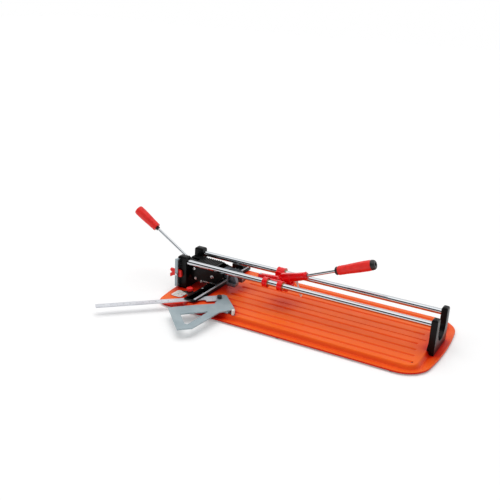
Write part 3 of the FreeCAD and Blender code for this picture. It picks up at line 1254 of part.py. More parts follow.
def scoring_wheel():
    rim = WHEEL_R - WHEEL_EDGE
    wheel = turned([(-WHEEL_T / 2, rim), (0, WHEEL_R), (WHEEL_T / 2, rim)],
                   (WHEEL_X, 0, WHEEL_Z), (0, 1, 0))
    return wheel.cut(through_y(WHEEL_AXLE_R + RUN_GAP, WHEEL_X, WHEEL_Z))


def scoring_lever_rod():
    return on_score(SCORE_ROD_R, SCORE_ROD_S, SCORE_TIP)


def grip_collar():
    collar = turned([(0, SCORE_COLLAR_R - 2), (2, SCORE_COLLAR_R),
                     (SCORE_COLLAR_L, SCORE_COLLAR_R - 1)],
                    along(SCORE_BASE, SCORE_AXIS, SCORE_COLLAR_S), SCORE_AXIS)
    return collar.cut(on_score(SCORE_ROD_R + FIT_GAP, SCORE_COLLAR_S - OVER, SCORE_GRIP_S + OVER))


def scoring_grip():
    shares = [(0.0, 0.74), (8.0 / SCORE_GRIP_L, 0.76), (0.3, 0.84), (0.6, 0.97), (0.85, 1.0),
              (1.0, 0.94)]
    grip = turned([(s * SCORE_GRIP_L, r * SCORE_GRIP_R) for s, r in shares],
                  along(SCORE_BASE, SCORE_AXIS, SCORE_GRIP_S), SCORE_AXIS)
    return grip.cut(on_score(SCORE_ROD_R + FIT_GAP, SCORE_GRIP_S - OVER, SCORE_TIP + FIT_GAP))


def grip_end_cap():
    shares = [(0.0, 0.94), (0.6, 0.9), (1.0, 0.66)]
    return turned([(s * CAP_L, r * SCORE_GRIP_R) for s, r in shares],
                  along(SCORE_BASE, SCORE_AXIS, SCORE_GRIP_S + SCORE_GRIP_L), SCORE_AXIS)


# ================================================================ all pieces
def main():
    os.makedirs("parts", exist_ok=True)
    save(base_pan(), "base_pan")
    save(anvil_strip(), "anvil_strip")
    save(group([pad(FOOT_R, x, y) for x, y in FOOT_PLACES]), "rubber_feet")
    save(pad(CENTRE_PAD_R, 0.0, 0.0), "centre_pad")
    save(left_support(), "left_support")
    save(right_support(), "right_support")
    save(support_bolts(LEFT_BOLTS), "left_support_bolts")
    save(support_bolts(RIGHT_BOLTS), "right_support_bolts")
    save(rod_set_screws(), "rod_set_screws")
    save(guide_rod(-1), "front_guide_rod")
    save(guide_rod(1), "back_guide_rod")
    save(fence_bar(), "fence_bar")
    save(fence_scale_rail(), "fence_scale_rail")
    save(fence_screws(), "fence_screws")
    save(gauge_block(), "gauge_block")
    save(gauge_knob(), "gauge_knob")
    save(gauge_rule(), "gauge_rule")
    save(square_plate(), "square_plate")
    save(square_stop_rod(), "square_stop_rod")
    save(square_stop_foot(), "square_stop_foot")
    save(square_knob(), "square_knob")
    save(angle_scale_plate(), "angle_scale_plate")
    save(edge_post(), "edge_post")
    save(transport_latch(), "transport_latch")
    save(latch_pin(), "latch_pin")
    save(breaker_plate(), "breaker_plate_front")
    save(mirror_y(breaker_plate()), "breaker_plate_back")
    save(breaker_spacers(), "breaker_spacers")
    save(breaker_bolts(), "breaker_bolts")
    save(breaker_shaft(), "breaker_shaft")
    save(rocker_pin(), "rocker_pin")
    save(breaker_trim_strip(), "breaker_trim_strip")
    save(breaker_hub(), "breaker_hub")
    save(breaker_lever_rod(), "breaker_lever_rod")
    save(breaker_collar(), "breaker_collar")
    save(breaker_grip(), "breaker_grip")
    save(breaker_rocker(), "breaker_rocker")
    save(presser_pin(), "presser_pin")
    save(presser_foot(), "presser_foot")
    save(presser_pads(), "presser_pads")
    save(carriage_frame(), "carriage_frame")
    save(carriage_bushes(), "carriage_bushes")
    save(lever_pin(), "lever_pin")
    save(scoring_lever_body(), "scoring_lever_body")
    save(wheel_holder(), "wheel_holder")
    save(holder_screw(), "holder_screw")
    save(wheel_axle(), "wheel_axle")
    save(scoring_wheel(), "scoring_wheel")
    save(scoring_lever_rod(), "scoring_lever_rod")
    save(grip_collar(), "grip_collar")
    save(scoring_grip(), "scoring_grip")
    save(grip_end_cap(), "grip_end_cap")


main()
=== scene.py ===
import bpy
import bmesh
import json
import math
from mathutils import Matrix, Vector
from mathutils.geometry import tessellate_polygon

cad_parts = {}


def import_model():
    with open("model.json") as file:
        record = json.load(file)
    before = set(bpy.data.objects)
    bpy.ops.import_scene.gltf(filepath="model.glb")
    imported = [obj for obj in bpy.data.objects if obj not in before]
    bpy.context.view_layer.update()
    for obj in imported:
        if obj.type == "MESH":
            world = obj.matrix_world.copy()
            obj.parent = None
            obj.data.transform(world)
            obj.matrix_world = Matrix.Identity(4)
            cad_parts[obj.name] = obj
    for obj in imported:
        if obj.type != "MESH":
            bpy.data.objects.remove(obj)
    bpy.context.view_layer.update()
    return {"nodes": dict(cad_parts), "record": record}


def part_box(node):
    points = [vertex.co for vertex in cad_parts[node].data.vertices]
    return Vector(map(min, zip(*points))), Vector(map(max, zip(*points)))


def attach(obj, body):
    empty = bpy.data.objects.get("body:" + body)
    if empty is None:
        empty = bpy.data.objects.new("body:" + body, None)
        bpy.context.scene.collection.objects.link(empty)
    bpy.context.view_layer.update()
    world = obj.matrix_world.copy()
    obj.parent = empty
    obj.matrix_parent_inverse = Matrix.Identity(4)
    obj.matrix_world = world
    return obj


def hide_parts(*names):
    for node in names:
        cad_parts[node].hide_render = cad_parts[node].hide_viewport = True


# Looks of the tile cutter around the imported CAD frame. Everything is in metres, in the CAD frame.
# X runs along the guide rods, -Y is the front and Z is up.

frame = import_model()
NODES = frame["nodes"]
MM = 0.001
BODY_OF = {node: body for body, nodes in frame["record"]["behaviour"]["bodies"].items()
           for node in nodes}
SLOT_OF = {part["node"]: part["material_slot"] for part in frame["record"]["subparts"]}


# ================================================================ colours and material nodes
def shade(red, green, blue):
    """Linear colour from display values between 0 and 255."""
    values = []
    for value in (red, green, blue):
        v = value / 255.0
        values.append(v / 12.92 if v <= 0.04045 else ((v + 0.055) / 1.055) ** 2.4)
    return (values[0], values[1], values[2], 1.0)


def grey(value):
    return (value, value, value, 1.0)


def times(tone, factor, lift=0.0):
    """A colour made darker or lighter."""
    return tuple(min(1.0, c * factor + lift) for c in tone[:3]) + (1.0,)


class Nodes:
    """Short calls for the nodes that the materials and the world are made of."""

    def __init__(self, tree):
        self.tree = tree

    def feed(self, socket, value):
        """Gives a socket another node's output, or a fixed value."""
        if isinstance(value, bpy.types.NodeSocket):
            self.tree.links.new(value, socket)
        else:
            socket.default_value = value

    def add(self, kind, inputs=None, **settings):
        made = self.tree.nodes.new(kind)
        for key, value in settings.items():
            setattr(made, key, value)
        for key, value in (inputs or {}).items():
            self.feed(made.inputs[key], value)
        return made

    def span(self, value, low, high, to_low=0.0, to_high=1.0):
        made = self.add("ShaderNodeMapRange", {"Value": value, "From Min": low, "From Max": high,
                                               "To Min": to_low, "To Max": to_high})
        return made.outputs["Result"]

    def math(self, operation, a, b):
        return self.add("ShaderNodeMath", {0: a, 1: b}, operation=operation).outputs[0]

    def mix(self, share, a, b):
        """Colour a where the share is 0 and colour b where it is 1."""
        made = self.add("ShaderNodeMix", {0: share, 6: a, 7: b}, data_type="RGBA")
        return made.outputs[2]

    def towards(self, base, tone, share, amount):
        """The base colour moved towards a tone by an amount, where the share is 1."""
        return self.mix(self.math("MULTIPLY", share, amount), base, tone)


class Finish(Nodes):
    """A Principled material whose colour, roughness and bump come from object coordinates."""

    def __init__(self, name, metallic=0.0, **sockets):
        self.material = bpy.data.materials.new(name)
        self.material.use_nodes = True
        super().__init__(self.material.node_tree)
        self.shader = self.tree.nodes["Principled BSDF"]
        self.shader.inputs["Metallic"].default_value = metallic
        for key, value in sockets.items():
            self.shader.inputs[key.replace("_", " ")].default_value = value
        self.place = self.add("ShaderNodeTexCoord").outputs["Object"]
        self.normal = None

    def noise(self, size, stretch=(1, 1, 1), detail=4.0, rough=0.55):
        """Noise with features of a size in metres, drawn out along an axis by stretch."""
        mapping = self.add("ShaderNodeMapping", {"Vector": self.place,
                                                 "Scale": [1.0 / s for s in stretch]})
        made = self.add("ShaderNodeTexNoise", {"Vector": mapping.outputs[0], "Scale": 1.0 / size,
                                               "Detail": detail, "Roughness": rough})
        return made.outputs["Fac"]

    def cells(self, size):
        """Distance to the middle of the nearest cell, with cells of a size in metres."""
        made = self.add("ShaderNodeTexVoronoi", {"Vector": self.place, "Scale": 1.0 / size})
        return made.outputs["Distance"]

    def edges(self, radius):
        """Share of edge: 1 along sharp edges, 0 on the open face; it places painted edge highlights
        and edge wear.
        """
        bevel = self.add("ShaderNodeBevel", {"Radius": radius}, samples=6)
        normal = self.add("ShaderNodeNewGeometry").outputs["Normal"]
        dot = self.add("ShaderNodeVectorMath", {0: bevel.outputs[0], 1: normal},
                       operation="DOT_PRODUCT").outputs["Value"]
        return self.span(self.math("SUBTRACT", 1.0, dot), 0.03, 0.3)

    def rubbed(self, radius, patch, low, high):
        """Share of edge in patches of a size in metres, where the colour lightens: wear and a
        painted highlight.
        """
        return self.math("MULTIPLY", self.edges(radius), self.span(self.noise(patch), low, high))

    def corners(self, distance, low=0.35, high=0.9):
        """Share of inner corner, where painted shade goes: 1 where the surface is closed in, 0 in
        the open.
        """
        made = self.add("ShaderNodeAmbientOcclusion", {"Distance": distance}, samples=8)
        return self.span(made.outputs["AO"], high, low)

    def colour(self, value):
        self.feed(self.shader.inputs["Base Color"], value)

    def roughness(self, value):
        self.feed(self.shader.inputs["Roughness"], value)

    def bump(self, value, depth, strength):
        """Adds a bump of a depth in metres to those already there."""
        inputs = {"Height": value, "Distance": depth, "Strength": strength}
        if self.normal is not None:
            inputs["Normal"] = self.normal
        self.normal = self.add("ShaderNodeBump", inputs).outputs[0]
        self.feed(self.shader.inputs["Normal"], self.normal)


# ================================================================ materials
def orange_paint():
    """Gloss orange coat on the tray: faint orange peel, painted shade that turns it redder where
    the surface is closed in, and lighter orange edges from wear and a painted highlight.
    """
    f = Finish("orange_paint", Coat_Weight=0.03, Coat_Roughness=0.10, Specular_IOR_Level=0.12)
    lit = shade(247, 106, 30)
    deep = shade(222, 26, 5)
    deepest_painted_shade = shade(190, 8, 6)
    worn = shade(250, 140, 76)
    broad = f.span(f.noise(0.09, (2.5, 1, 1), 3.0), 0.35, 0.7)
    base = f.towards(lit, deep, broad, 0.16)
    # Painted shade: redder near walls and parts that stand over the deck, in the grooves, and
    # deepest where the surface is most closed in.
    base = f.towards(base, deep, f.corners(0.07, 0.70, 0.97), 0.92)
    base = f.towards(base, deep, f.corners(0.009, 0.55, 0.97), 0.55)
    base = f.towards(base, deepest_painted_shade, f.corners(0.07, 0.30, 0.78), 0.85)
    # Lighter orange along the edges in patches: wear and a painted highlight.
    f.colour(f.towards(base, worn, f.rubbed(0.0014, 0.006, 0.42, 0.62), 0.6))
    f.roughness(f.span(f.noise(0.03, detail=6.0), 0.3, 0.75, 0.30, 0.44))
    f.bump(f.noise(0.0017, detail=2.0), 0.00006, 0.5)
    f.bump(f.noise(0.0125, (3, 1, 1), 2.0), 0.00025, 0.35)
    return f.material


def black_casting():
    """Black powder coat on cast metal, greyer along its edges in patches: wear and a painted
    highlight.
    """
    f = Finish("black_casting", Coat_Weight=0.04, Coat_Roughness=0.08, Specular_IOR_Level=0.15)
    tone = 0.0024
    speck = f.span(f.noise(0.0009, detail=2.0), 0.35, 0.7)
    base = f.mix(speck, grey(tone * 0.75), (tone * 1.3, tone * 1.35, tone * 1.5, 1.0))
    # Greyer edges in patches: wear and a painted highlight.
    f.colour(f.towards(base, grey(0.03), f.rubbed(0.0012, 0.004, 0.4, 0.65), 0.45))
    f.roughness(f.span(f.noise(0.012, detail=5.0), 0.3, 0.7, 0.26, 0.40))
    f.bump(f.noise(0.0011, detail=3.0), 0.00009, 0.55)
    f.bump(f.noise(0.02, detail=1.0), 0.0004, 0.25)
    return f.material


def red_paint():
    """Thick gloss red coat on the castings, with painted shade deeper in the hollows and lighter
    red edges from wear and a painted highlight.
    """
    f = Finish("red_paint", Coat_Weight=0.30, Coat_Roughness=0.04, Specular_IOR_Level=0.25)
    lit = shade(240, 4, 16)
    deep = shade(176, 0, 10)
    worn = shade(244, 70, 62)
    base = f.mix(f.span(f.noise(0.02, detail=3.0), 0.35, 0.7, 0.0, 0.4), lit, deep)
    # Painted shade in the hollows.
    base = f.towards(base, deep, f.corners(0.012), 0.7)
    # Lighter red along the edges in patches: wear and a painted highlight.
    f.colour(f.towards(base, worn, f.rubbed(0.0009, 0.003, 0.5, 0.68), 0.5))
    f.roughness(f.span(f.noise(0.008), 0.3, 0.7, 0.18, 0.30))
    f.bump(f.noise(0.0024, detail=2.0), 0.00012, 0.5)
    return f.material


def red_grip():
    """Moulded red grip with a fine leather-like grain and cloudy gloss, and painted shade where the
    surface is closed in.
    """
    f = Finish("red_grip", Coat_Weight=0.12, Coat_Roughness=0.2, Specular_IOR_Level=0.3)
    lit = shade(240, 44, 38)
    deep = shade(206, 18, 22)
    base = f.mix(f.span(f.noise(0.018, detail=4.0), 0.35, 0.72, 0.0, 0.5), lit, deep)
    # Painted shade where the surface is closed in.
    f.colour(f.towards(base, deep, f.corners(0.006), 0.6))
    f.roughness(f.span(f.noise(0.01, detail=5.0), 0.3, 0.7, 0.32, 0.46))
    f.bump(f.cells(0.0010), 0.00010, 0.5)
    return f.material


def polished(name, tone, rough, stretch, scratch=0.00002):
    """Bright metal with fine marks, which stretch draws out, and faint finger haze."""
    f = Finish(name, metallic=1.0)
    haze = f.span(f.noise(0.035, detail=4.0), 0.4, 0.75)
    dim = (tone[0] * 0.88, tone[1] * 0.9, tone[2] * 0.93, 1.0)
    f.colour(f.towards(tone, dim, haze, 0.5))
    lines = f.noise(0.0006, stretch, 3.0, 0.7)
    worn = f.math("ADD", f.math("MULTIPLY", haze, 0.05), f.math("MULTIPLY", lines, 0.08))
    f.roughness(f.math("ADD", worn, rough))
    f.bump(lines, scratch, 0.5)
    return f.material


def satin(name, tone, dark, rough, metal, stretch, grain=0.0005, depth=0.00003):
    """Brushed, rolled or cast metal: fine grain, cloudy tone, painted shade in the corners, painted
    highlight on the edges.
    """
    f = Finish(name, metallic=metal, Specular_IOR_Level=0.4)
    cloud = f.span(f.noise(0.05, detail=5.0), 0.35, 0.7)
    lines = f.noise(grain, stretch, 4.0, 0.65)
    base = f.mix(cloud, tone, dark)
    base = f.mix(f.span(lines, 0.3, 0.8, 0.0, 0.28), base, dark)
    # Painted shade in the corners.
    base = f.towards(base, times(dark, 0.30), f.corners(0.010, 0.45, 0.92), 0.7)
    # Painted highlight along the edges.
    f.colour(f.towards(base, times(tone, 1.25), f.edges(0.0008), 0.5))
    f.roughness(f.span(lines, 0.3, 0.7, rough, rough + 0.15))
    f.bump(lines, depth, 0.6)
    return f.material


def plastic(name, tone, other, rough, grain=0.0012, depth=0.00008, coat=0.0):
    """Moulded plastic or rubber with a fine grain and a painted highlight along its edges."""
    f = Finish(name, Coat_Weight=coat, Coat_Roughness=0.2)
    base = f.mix(f.span(f.noise(0.012, detail=5.0), 0.35, 0.7), tone, other)
    # Painted highlight: lighter along the edges.
    f.colour(f.towards(base, times(tone, 1.6, 0.02), f.edges(0.0007), 0.35))
    f.roughness(f.span(f.noise(0.005), 0.3, 0.7, rough, rough + 0.14))
    f.bump(f.noise(grain, detail=3.0), depth, 0.6)
    return f.material


EVEN = (1, 1, 1)
SLOTS = {
    "orange_paint": orange_paint(),
    "black_casting": black_casting(),
    "red_paint": red_paint(),
    "red_grip": red_grip(),
    "chrome_rod": polished("chrome_rod", (0.60, 0.62, 0.645, 1.0), 0.03, (40, 1, 1)),
    "steel": polished("steel", (0.60, 0.61, 0.62, 1.0), 0.16, EVEN, 0.00004),
    "bronze": polished("bronze", (0.55, 0.38, 0.18, 1.0), 0.30, (6, 1, 1), 0.00004),
    "dark_steel": satin("dark_steel", grey(0.060), grey(0.030), 0.34, 0.7, (1, 6, 1)),
    "alu": satin("alu", shade(172, 186, 191), shade(146, 163, 170), 0.34, 0.45, (12, 1, 1)),
    "cast_alu": satin("cast_alu", shade(142, 150, 158), shade(74, 82, 90), 0.22, 0.85, EVEN,
                      grain=0.0012, depth=0.00012),
    "label": satin("label", shade(240, 238, 232), shade(226, 225, 220), 0.38, 0.1, (1, 8, 1)),
    "black_plastic": plastic("black_plastic", grey(0.007), grey(0.012), 0.36, coat=0.1),
    "rubber": plastic("rubber", grey(0.012), grey(0.020), 0.62, grain=0.0016, depth=0.00015),
    "white_nylon": plastic("white_nylon", shade(232, 232, 226), shade(218, 218, 212), 0.34)}
BRIGHT_SCALE = satin("bright_scale", shade(224, 226, 231), shade(202, 205, 212), 0.22, 0.30, EVEN,
                     grain=0.0004, depth=0.00002)


def coat_nodes():
    """Each CAD node gets the finish of its slot in the record."""
    for name, obj in NODES.items():
        obj.data.materials.clear()
        obj.data.materials.append(SLOTS[SLOT_OF[name]])


# ================================================================ pieces and mesh helpers
def in_scene(name, data):
    obj = bpy.data.objects.new(name, data)
    bpy.context.scene.collection.objects.link(obj)
    return obj


def finish_piece(name, mesh, body, slot, crease, nodes=()):
    """Makes a mesh a smooth piece on a CAD body, which may stand for some CAD nodes.

    Edges sharper than the crease, in degrees, stay sharp.
    """
    mesh.materials.clear()
    mesh.materials.append(SLOTS[slot])
    mesh.shade_smooth()
    mesh.set_sharp_from_angle(angle=math.radians(crease))
    obj = in_scene(name, mesh)
    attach(obj, body)
    if nodes:
        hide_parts(*nodes)
    return obj


def stand_in(node, mesh, crease):
    """A piece that takes a node's place, body and finish."""
    mesh.name = node + "_part"
    return finish_piece(node + "_part", mesh, BODY_OF[node], SLOT_OF[node], crease, [node])


def add_detail(name, bm, body, slot):
    """A small piece with no CAD node of its own."""
    return finish_piece(name, to_mesh(bm, name), body, slot, 35.0)


def to_mesh(bm, name):
    bmesh.ops.recalc_face_normals(bm, faces=bm.faces)
    mesh = bpy.data.meshes.new(name)
    bm.to_mesh(mesh)
    bm.free()
    return mesh


def applied(mesh, *modifiers):
    """The mesh with modifiers applied: each is (type, settings)."""
    obj = in_scene("work", mesh)
    for kind, settings in modifiers:
        modifier = obj.modifiers.new(kind.lower(), kind)
        for key, value in settings.items():
            setattr(modifier, key, value)
    bpy.context.view_layer.update()
    graph = bpy.context.evaluated_depsgraph_get()
    made = bpy.data.meshes.new_from_object(obj.evaluated_get(graph), depsgraph=graph)
    bpy.data.objects.remove(obj)
    return made


def flatten_shading(piece):
    """Lets the broad faces set the shading, so that they look flat beside their round edges."""
    piece.data = applied(piece.data, ("WEIGHTED_NORMAL", {"keep_sharp": True, "weight": 50}))


def cut_by(mesh, cutters, operation="DIFFERENCE"):
    """Exact boolean of a mesh with one bmesh of closed shapes."""
    tool = in_scene("tool", to_mesh(cutters, "tool"))
    made = applied(mesh, ("BOOLEAN", {"object": tool, "operation": operation, "solver": "EXACT"}))
    bpy.data.objects.remove(tool)
    return made


def add_box(bm, low, high, corner=0.0, segments=3):
    """Closed box; its upright edges may be rounded."""
    made = bmesh.ops.create_cube(bm, size=1.0)["verts"]
    bmesh.ops.scale(bm, vec=Vector(high) - Vector(low), verts=made)
    bmesh.ops.translate(bm, vec=(Vector(low) + Vector(high)) / 2, verts=made)
    if corner:
        edges = dict.fromkeys(e for v in made for e in v.link_edges)
        upright = [e for e in edges if abs((e.verts[0].co - e.verts[1].co).normalized().z) > 0.9]
        bmesh.ops.bevel(bm, geom=upright, offset=corner, offset_type="OFFSET", segments=segments,
                        profile=0.5, affect="EDGES", clamp_overlap=True)


def add_lathe(bm, profile, base, axis, around=48, shape=None):
    """Closed surface of revolution: profile is (distance along the axis, radius), in metres.

    shape(distance, angle) scales the radius, for flutes.
    """
    turn = Vector(axis).to_track_quat("X", "Z").to_matrix()
    rings = []
    for s, r in profile:
        ring = []
        for k in range(around):
            angle = 2 * math.pi * k / around
            radius = r * (shape(s, angle) if shape else 1.0)
            local = Vector((s, radius * math.cos(angle), radius * math.sin(angle)))
            ring.append(bm.verts.new(Vector(base) + turn @ local))
        rings.append(ring)
    for a, b in zip(rings, rings[1:]):
        bridge(bm, a, b)
    bm.faces.new(list(reversed(rings[0])))
    bm.faces.new(rings[-1])


def bridge(bm, a, b):
    """Faces between two rings of vertices with the same count."""
    for k in range(len(a)):
        j = (k + 1) % len(a)
        bm.faces.new((a[k], a[j], b[j], b[k]))


def ring_of(bm, points):
    return [bm.verts.new(p) for p in points]


def flat_ring(bm, outer, inner):
    """Flat region between two loops of vertices in one plane."""
    both = outer + inner
    for tri in tessellate_polygon([[v.co for v in outer], [v.co for v in inner]]):
        bm.faces.new([both[i] for i in tri])


def ease(low, high, value):
    """0 below low, 1 above high, and a smooth step between them."""
    t = max(0.0, min(1.0, (value - low) / (high - low)))
    return t * t * (3 - 2 * t)


def arc_points(centre, radius, start, end, count):
    """Points on an arc, both ends included; angles in degrees."""
    points = []
    for i in range(count + 1):
        a = math.radians(start + (end - start) * i / count)
        points.append((centre[0] + radius * math.cos(a), centre[1] + radius * math.sin(a)))
    return points


def smooth_profile(points, steps):
    """Points on a Catmull-Rom line through (distance, radius) points."""
    made = []
    ends = [points[0]] + list(points) + [points[-1]]
    for i in range(1, len(ends) - 2):
        p0, p1, p2, p3 = ends[i - 1:i + 3]
        for k in range(steps):
            t = k / steps
            made.append(tuple(0.5 * (2 * b + (c - a) * t + (2 * a - 5 * b + 4 * c - d) * t * t
                                     + (3 * b - a - 3 * c + d) * t * t * t)
                              for a, b, c, d in zip(p0, p1, p2, p3)))
    made.append(tuple(points[-1]))
    return made


# ================================================================ tray
FENCE_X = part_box("fence_bar")[1].x
RIM_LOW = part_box("base_pan")[0].z
RIM_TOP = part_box("left_support")[0].z
DECK_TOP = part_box("fence_bar")[0].z
TRAY_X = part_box("base_pan")[1].x
TRAY_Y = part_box("base_pan")[1].y
BOW = 20.0 * MM             # how far the middle of each end bows out
RIM_R_LEFT = 44.0 * MM      # rim corners
RIM_R_RIGHT = 84.0 * MM
DECK_Y = TRAY_Y - 22.0 * MM     # the deck's outline: half its width, its two ends and its corners
DECK_X0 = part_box("fence_bar")[0].x
DECK_X1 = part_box("anvil_strip")[1].x + 28.0 * MM
DECK_R = 36.0 * MM
CORNER_STEPS = 14
BOW_STEPS = 16
SIDE_STEPS = 4

# Rim section, in mm: distance in from the outline, and height below the rim's top.
LIP = [(0.0, 2.0), (0.25, 1.1), (0.8, 0.45), (1.6, 0.05), (2.6, 0.0), (4.0, 0.10), (5.6, 0.45),
       (7.4, 0.6)]
LIP_EDGE = 0.8 * MM         # chamfer along the rim's lower edge
STEP_OUT = 3.0              # mm from the deck's outline out to the foot of the step
STEP_WIDE = 10.5            # mm from the foot of the step to its top
STEP_RINGS = 12

GROOVE_PAIRS = 4
GROOVE_FIRST_Y = 35.0       # mm from the middle to the first groove on each side
GROOVE_PITCH = 39.0         # mm
GROOVE_START = 54.0         # mm from the fence to the first groove's start
GROOVE_STOP = 42.0          # mm from the first groove's end to the deck's end
GROOVE_SHIFT = 7.0          # mm that each next pair of grooves lies further right
GROOVE_DEPTH = 3.0 * MM
GROOVE_FLAT = 1.4 * MM      # half width at full depth
GROOVE_HALF = 7.2 * MM      # half width at the deck
GROOVE_END = 3.5 * MM       # from a groove's end to the middle of its round end
GRID_MARGIN = 9.0 * MM      # fine grid on each side of a groove
GRID_FINE_X = 1.4 * MM
GRID_FINE_Y = 1.0 * MM
GRID_WIDE = 24.0 * MM
TINY = 1e-9

RIB_HALF = 2.5 * MM         # ribs under the deck
MIDDLE_RIB_HALF = 7.0 * MM
RIB_Y = 60.0 * MM
RIBS_ACROSS = 5
RIB_PITCH = (2 * TRAY_X - 20.0 * MM) / (RIBS_ACROSS + 1)
POCKET_MARGIN = 16.0 * MM   # from the deck's outline to the pockets
POCKET_ROOF = 4.6 * MM      # deck left over the pockets
POCKET_CORNER = 4.0 * MM
PAST = 2.0 * MM             # how far a cutter goes past the face it opens
BOSS_R = 24.0 * MM          # round pad under the deck's middle
BOSS_ROOF = 4.0 * MM


def rim_quarter(inset, radius):
    """Half of one bowed end, its round corner and half of the straight side."""
    big = (TRAY_Y ** 2 + BOW ** 2) / (2 * BOW)
    centre_x = TRAY_X - big
    corner_y = TRAY_Y - radius
    corner_x = centre_x + math.sqrt((big - radius) ** 2 - corner_y ** 2)
    turn = math.degrees(math.atan2(corner_y, corner_x - centre_x))
    quarter = arc_points((centre_x, 0.0), big - inset, 0.0, turn, BOW_STEPS)
    quarter += arc_points((corner_x, corner_y), radius - inset, turn, 90.0, CORNER_STEPS)[1:]
    return quarter + [(corner_x * (1 - i / SIDE_STEPS), TRAY_Y - inset)
                      for i in range(1, SIDE_STEPS + 1)]


def rim_loop(inset, z):
    """Tray outline moved inwards: bowed ends, round corners, straight sides."""
    right = rim_quarter(inset, RIM_R_RIGHT)
    left = rim_quarter(inset, RIM_R_LEFT)
    half = right + [(-x, y) for x, y in reversed(left[:-1])]
    whole = half + [(x, -y) for x, y in reversed(half[1:-1])]
    return [Vector((x, y, z)) for x, y in whole]


def deck_loop(inset, z):
    """Deck outline moved inwards: a rectangle with round corners."""
    x0, x1 = DECK_X0 + DECK_R, DECK_X1 - DECK_R
    y1 = DECK_Y - DECK_R
    corners = [((x1, y1), 0), ((x0, y1), 90), ((x0, -y1), 180), ((x1, -y1), 270)]
    points = []
    for centre, start in corners:
        points += arc_points(centre, DECK_R - inset, start, start + 90.0, CORNER_STEPS)
    return [Vector((x, y, z)) for x, y in points]


def grooves():
    """(start, end, y) of each groove's centre line; the outer ones lie further right."""
    rows = []
    for i in range(GROOVE_PAIRS):
        start = FENCE_X + (GROOVE_START + GROOVE_SHIFT * i) * MM
        end = DECK_X1 - (GROOVE_STOP - GROOVE_SHIFT * i) * MM
        for side in (-1, 1):
            rows.append((start, end, side * (GROOVE_FIRST_Y + GROOVE_PITCH * i) * MM))
    return rows


def groove_depth(x, y, rows):
    """How far the deck lies below its top at a point."""
    depth = 0.0
    for start, end, middle in rows:
        beyond = max(start + GROOVE_END - x, 0.0, x - end + GROOVE_END)
        away = math.hypot(beyond, y - middle)
        depth = max(depth, GROOVE_DEPTH * (1.0 - ease(GROOVE_FLAT, GROOVE_HALF, away)))
    return depth


def grid_lines(low, high, fine, step_fine, step_wide):
    """Grid lines, close together inside the fine spans and wide elsewhere."""
    lines = [low]
    while lines[-1] < high - TINY:
        at = lines[-1]
        near = any(a - TINY <= at < b - TINY for a, b in fine)
        ahead = [a for a, b in fine if a > at + TINY]
        step = step_fine if near else step_wide
        stop = min(ahead + [high]) if not near else high
        lines.append(min(at + step, stop))
    return lines


def widened(values):
    """The span of some values with the fine grid's margin."""
    return (min(values) - GRID_MARGIN, max(values) + GRID_MARGIN)


def tray_shell():
    """Closed tray with a rounded lip, a soft deck step and soft grooves."""
    bm = bmesh.new()
    last = ring_of(bm, rim_loop(LIP_EDGE, RIM_LOW))
    bm.faces.new(last)
    rim = [(0.0, RIM_LOW + LIP_EDGE)] + [(inset * MM, RIM_TOP - drop * MM) for inset, drop in LIP]
    for inset, z in rim:
        ring = ring_of(bm, rim_loop(inset, z))
        bridge(bm, last, ring)
        last = ring
    floor_z = rim[-1][1]
    step = ring_of(bm, deck_loop(-STEP_OUT * MM, floor_z))
    flat_ring(bm, last, step)
    last = step
    for k in range(1, STEP_RINGS + 1):
        inset = (-STEP_OUT + STEP_WIDE * k / STEP_RINGS) * MM
        z = floor_z + (DECK_TOP - floor_z) * ease(0.0, 1.0, k / STEP_RINGS)
        ring = ring_of(bm, deck_loop(inset, z))
        bridge(bm, last, ring)
        last = ring
    rows = grooves()
    fine_y = [widened([y]) for _, _, y in sorted(rows, key=lambda row: row[2])]
    fine_x = [widened([row[0] for row in rows]), widened([row[1] for row in rows])]
    xs = grid_lines(fine_x[0][0], fine_x[1][1], fine_x, GRID_FINE_X, GRID_WIDE)
    ys = grid_lines(fine_y[0][0], fine_y[-1][1], fine_y, GRID_FINE_Y, GRID_WIDE)
    cell = [[bm.verts.new((x, y, DECK_TOP - groove_depth(x, y, rows))) for y in ys] for x in xs]
    for i in range(len(xs) - 1):
        for j in range(len(ys) - 1):
            bm.faces.new((cell[i][j], cell[i + 1][j], cell[i + 1][j + 1], cell[i][j + 1]))
    edge = [column[0] for column in cell]
    edge += cell[-1][1:]
    edge += [column[-1] for column in reversed(cell[:-1])]
    edge += list(reversed(cell[0][1:-1]))
    flat_ring(bm, last, edge)
    return to_mesh(bm, "tray")


def gaps(low, high, ribs):
    """(start, end) of the spaces between ribs, which are given as (place, half width)."""
    starts = [low] + [place + half for place, half in ribs]
    ends = [place - half for place, half in ribs] + [high]
    return list(zip(starts, ends))


def tray_pockets():
    """Hollows under the deck between the ribs."""
    bm = bmesh.new()
    ribs_x = [(RIB_PITCH * (i - RIBS_ACROSS // 2), RIB_HALF) for i in range(RIBS_ACROSS)]
    ribs_y = [(-RIB_Y, RIB_HALF), (0.0, MIDDLE_RIB_HALF), (RIB_Y, RIB_HALF)]
    reach_y = DECK_Y - POCKET_MARGIN
    for x0, x1 in gaps(DECK_X0 + POCKET_MARGIN, DECK_X1 - POCKET_MARGIN, ribs_x):
        for y0, y1 in gaps(-reach_y, reach_y, ribs_y):
            add_box(bm, (x0, y0, RIM_LOW - PAST), (x1, y1, DECK_TOP - POCKET_ROOF), POCKET_CORNER)
    return bm


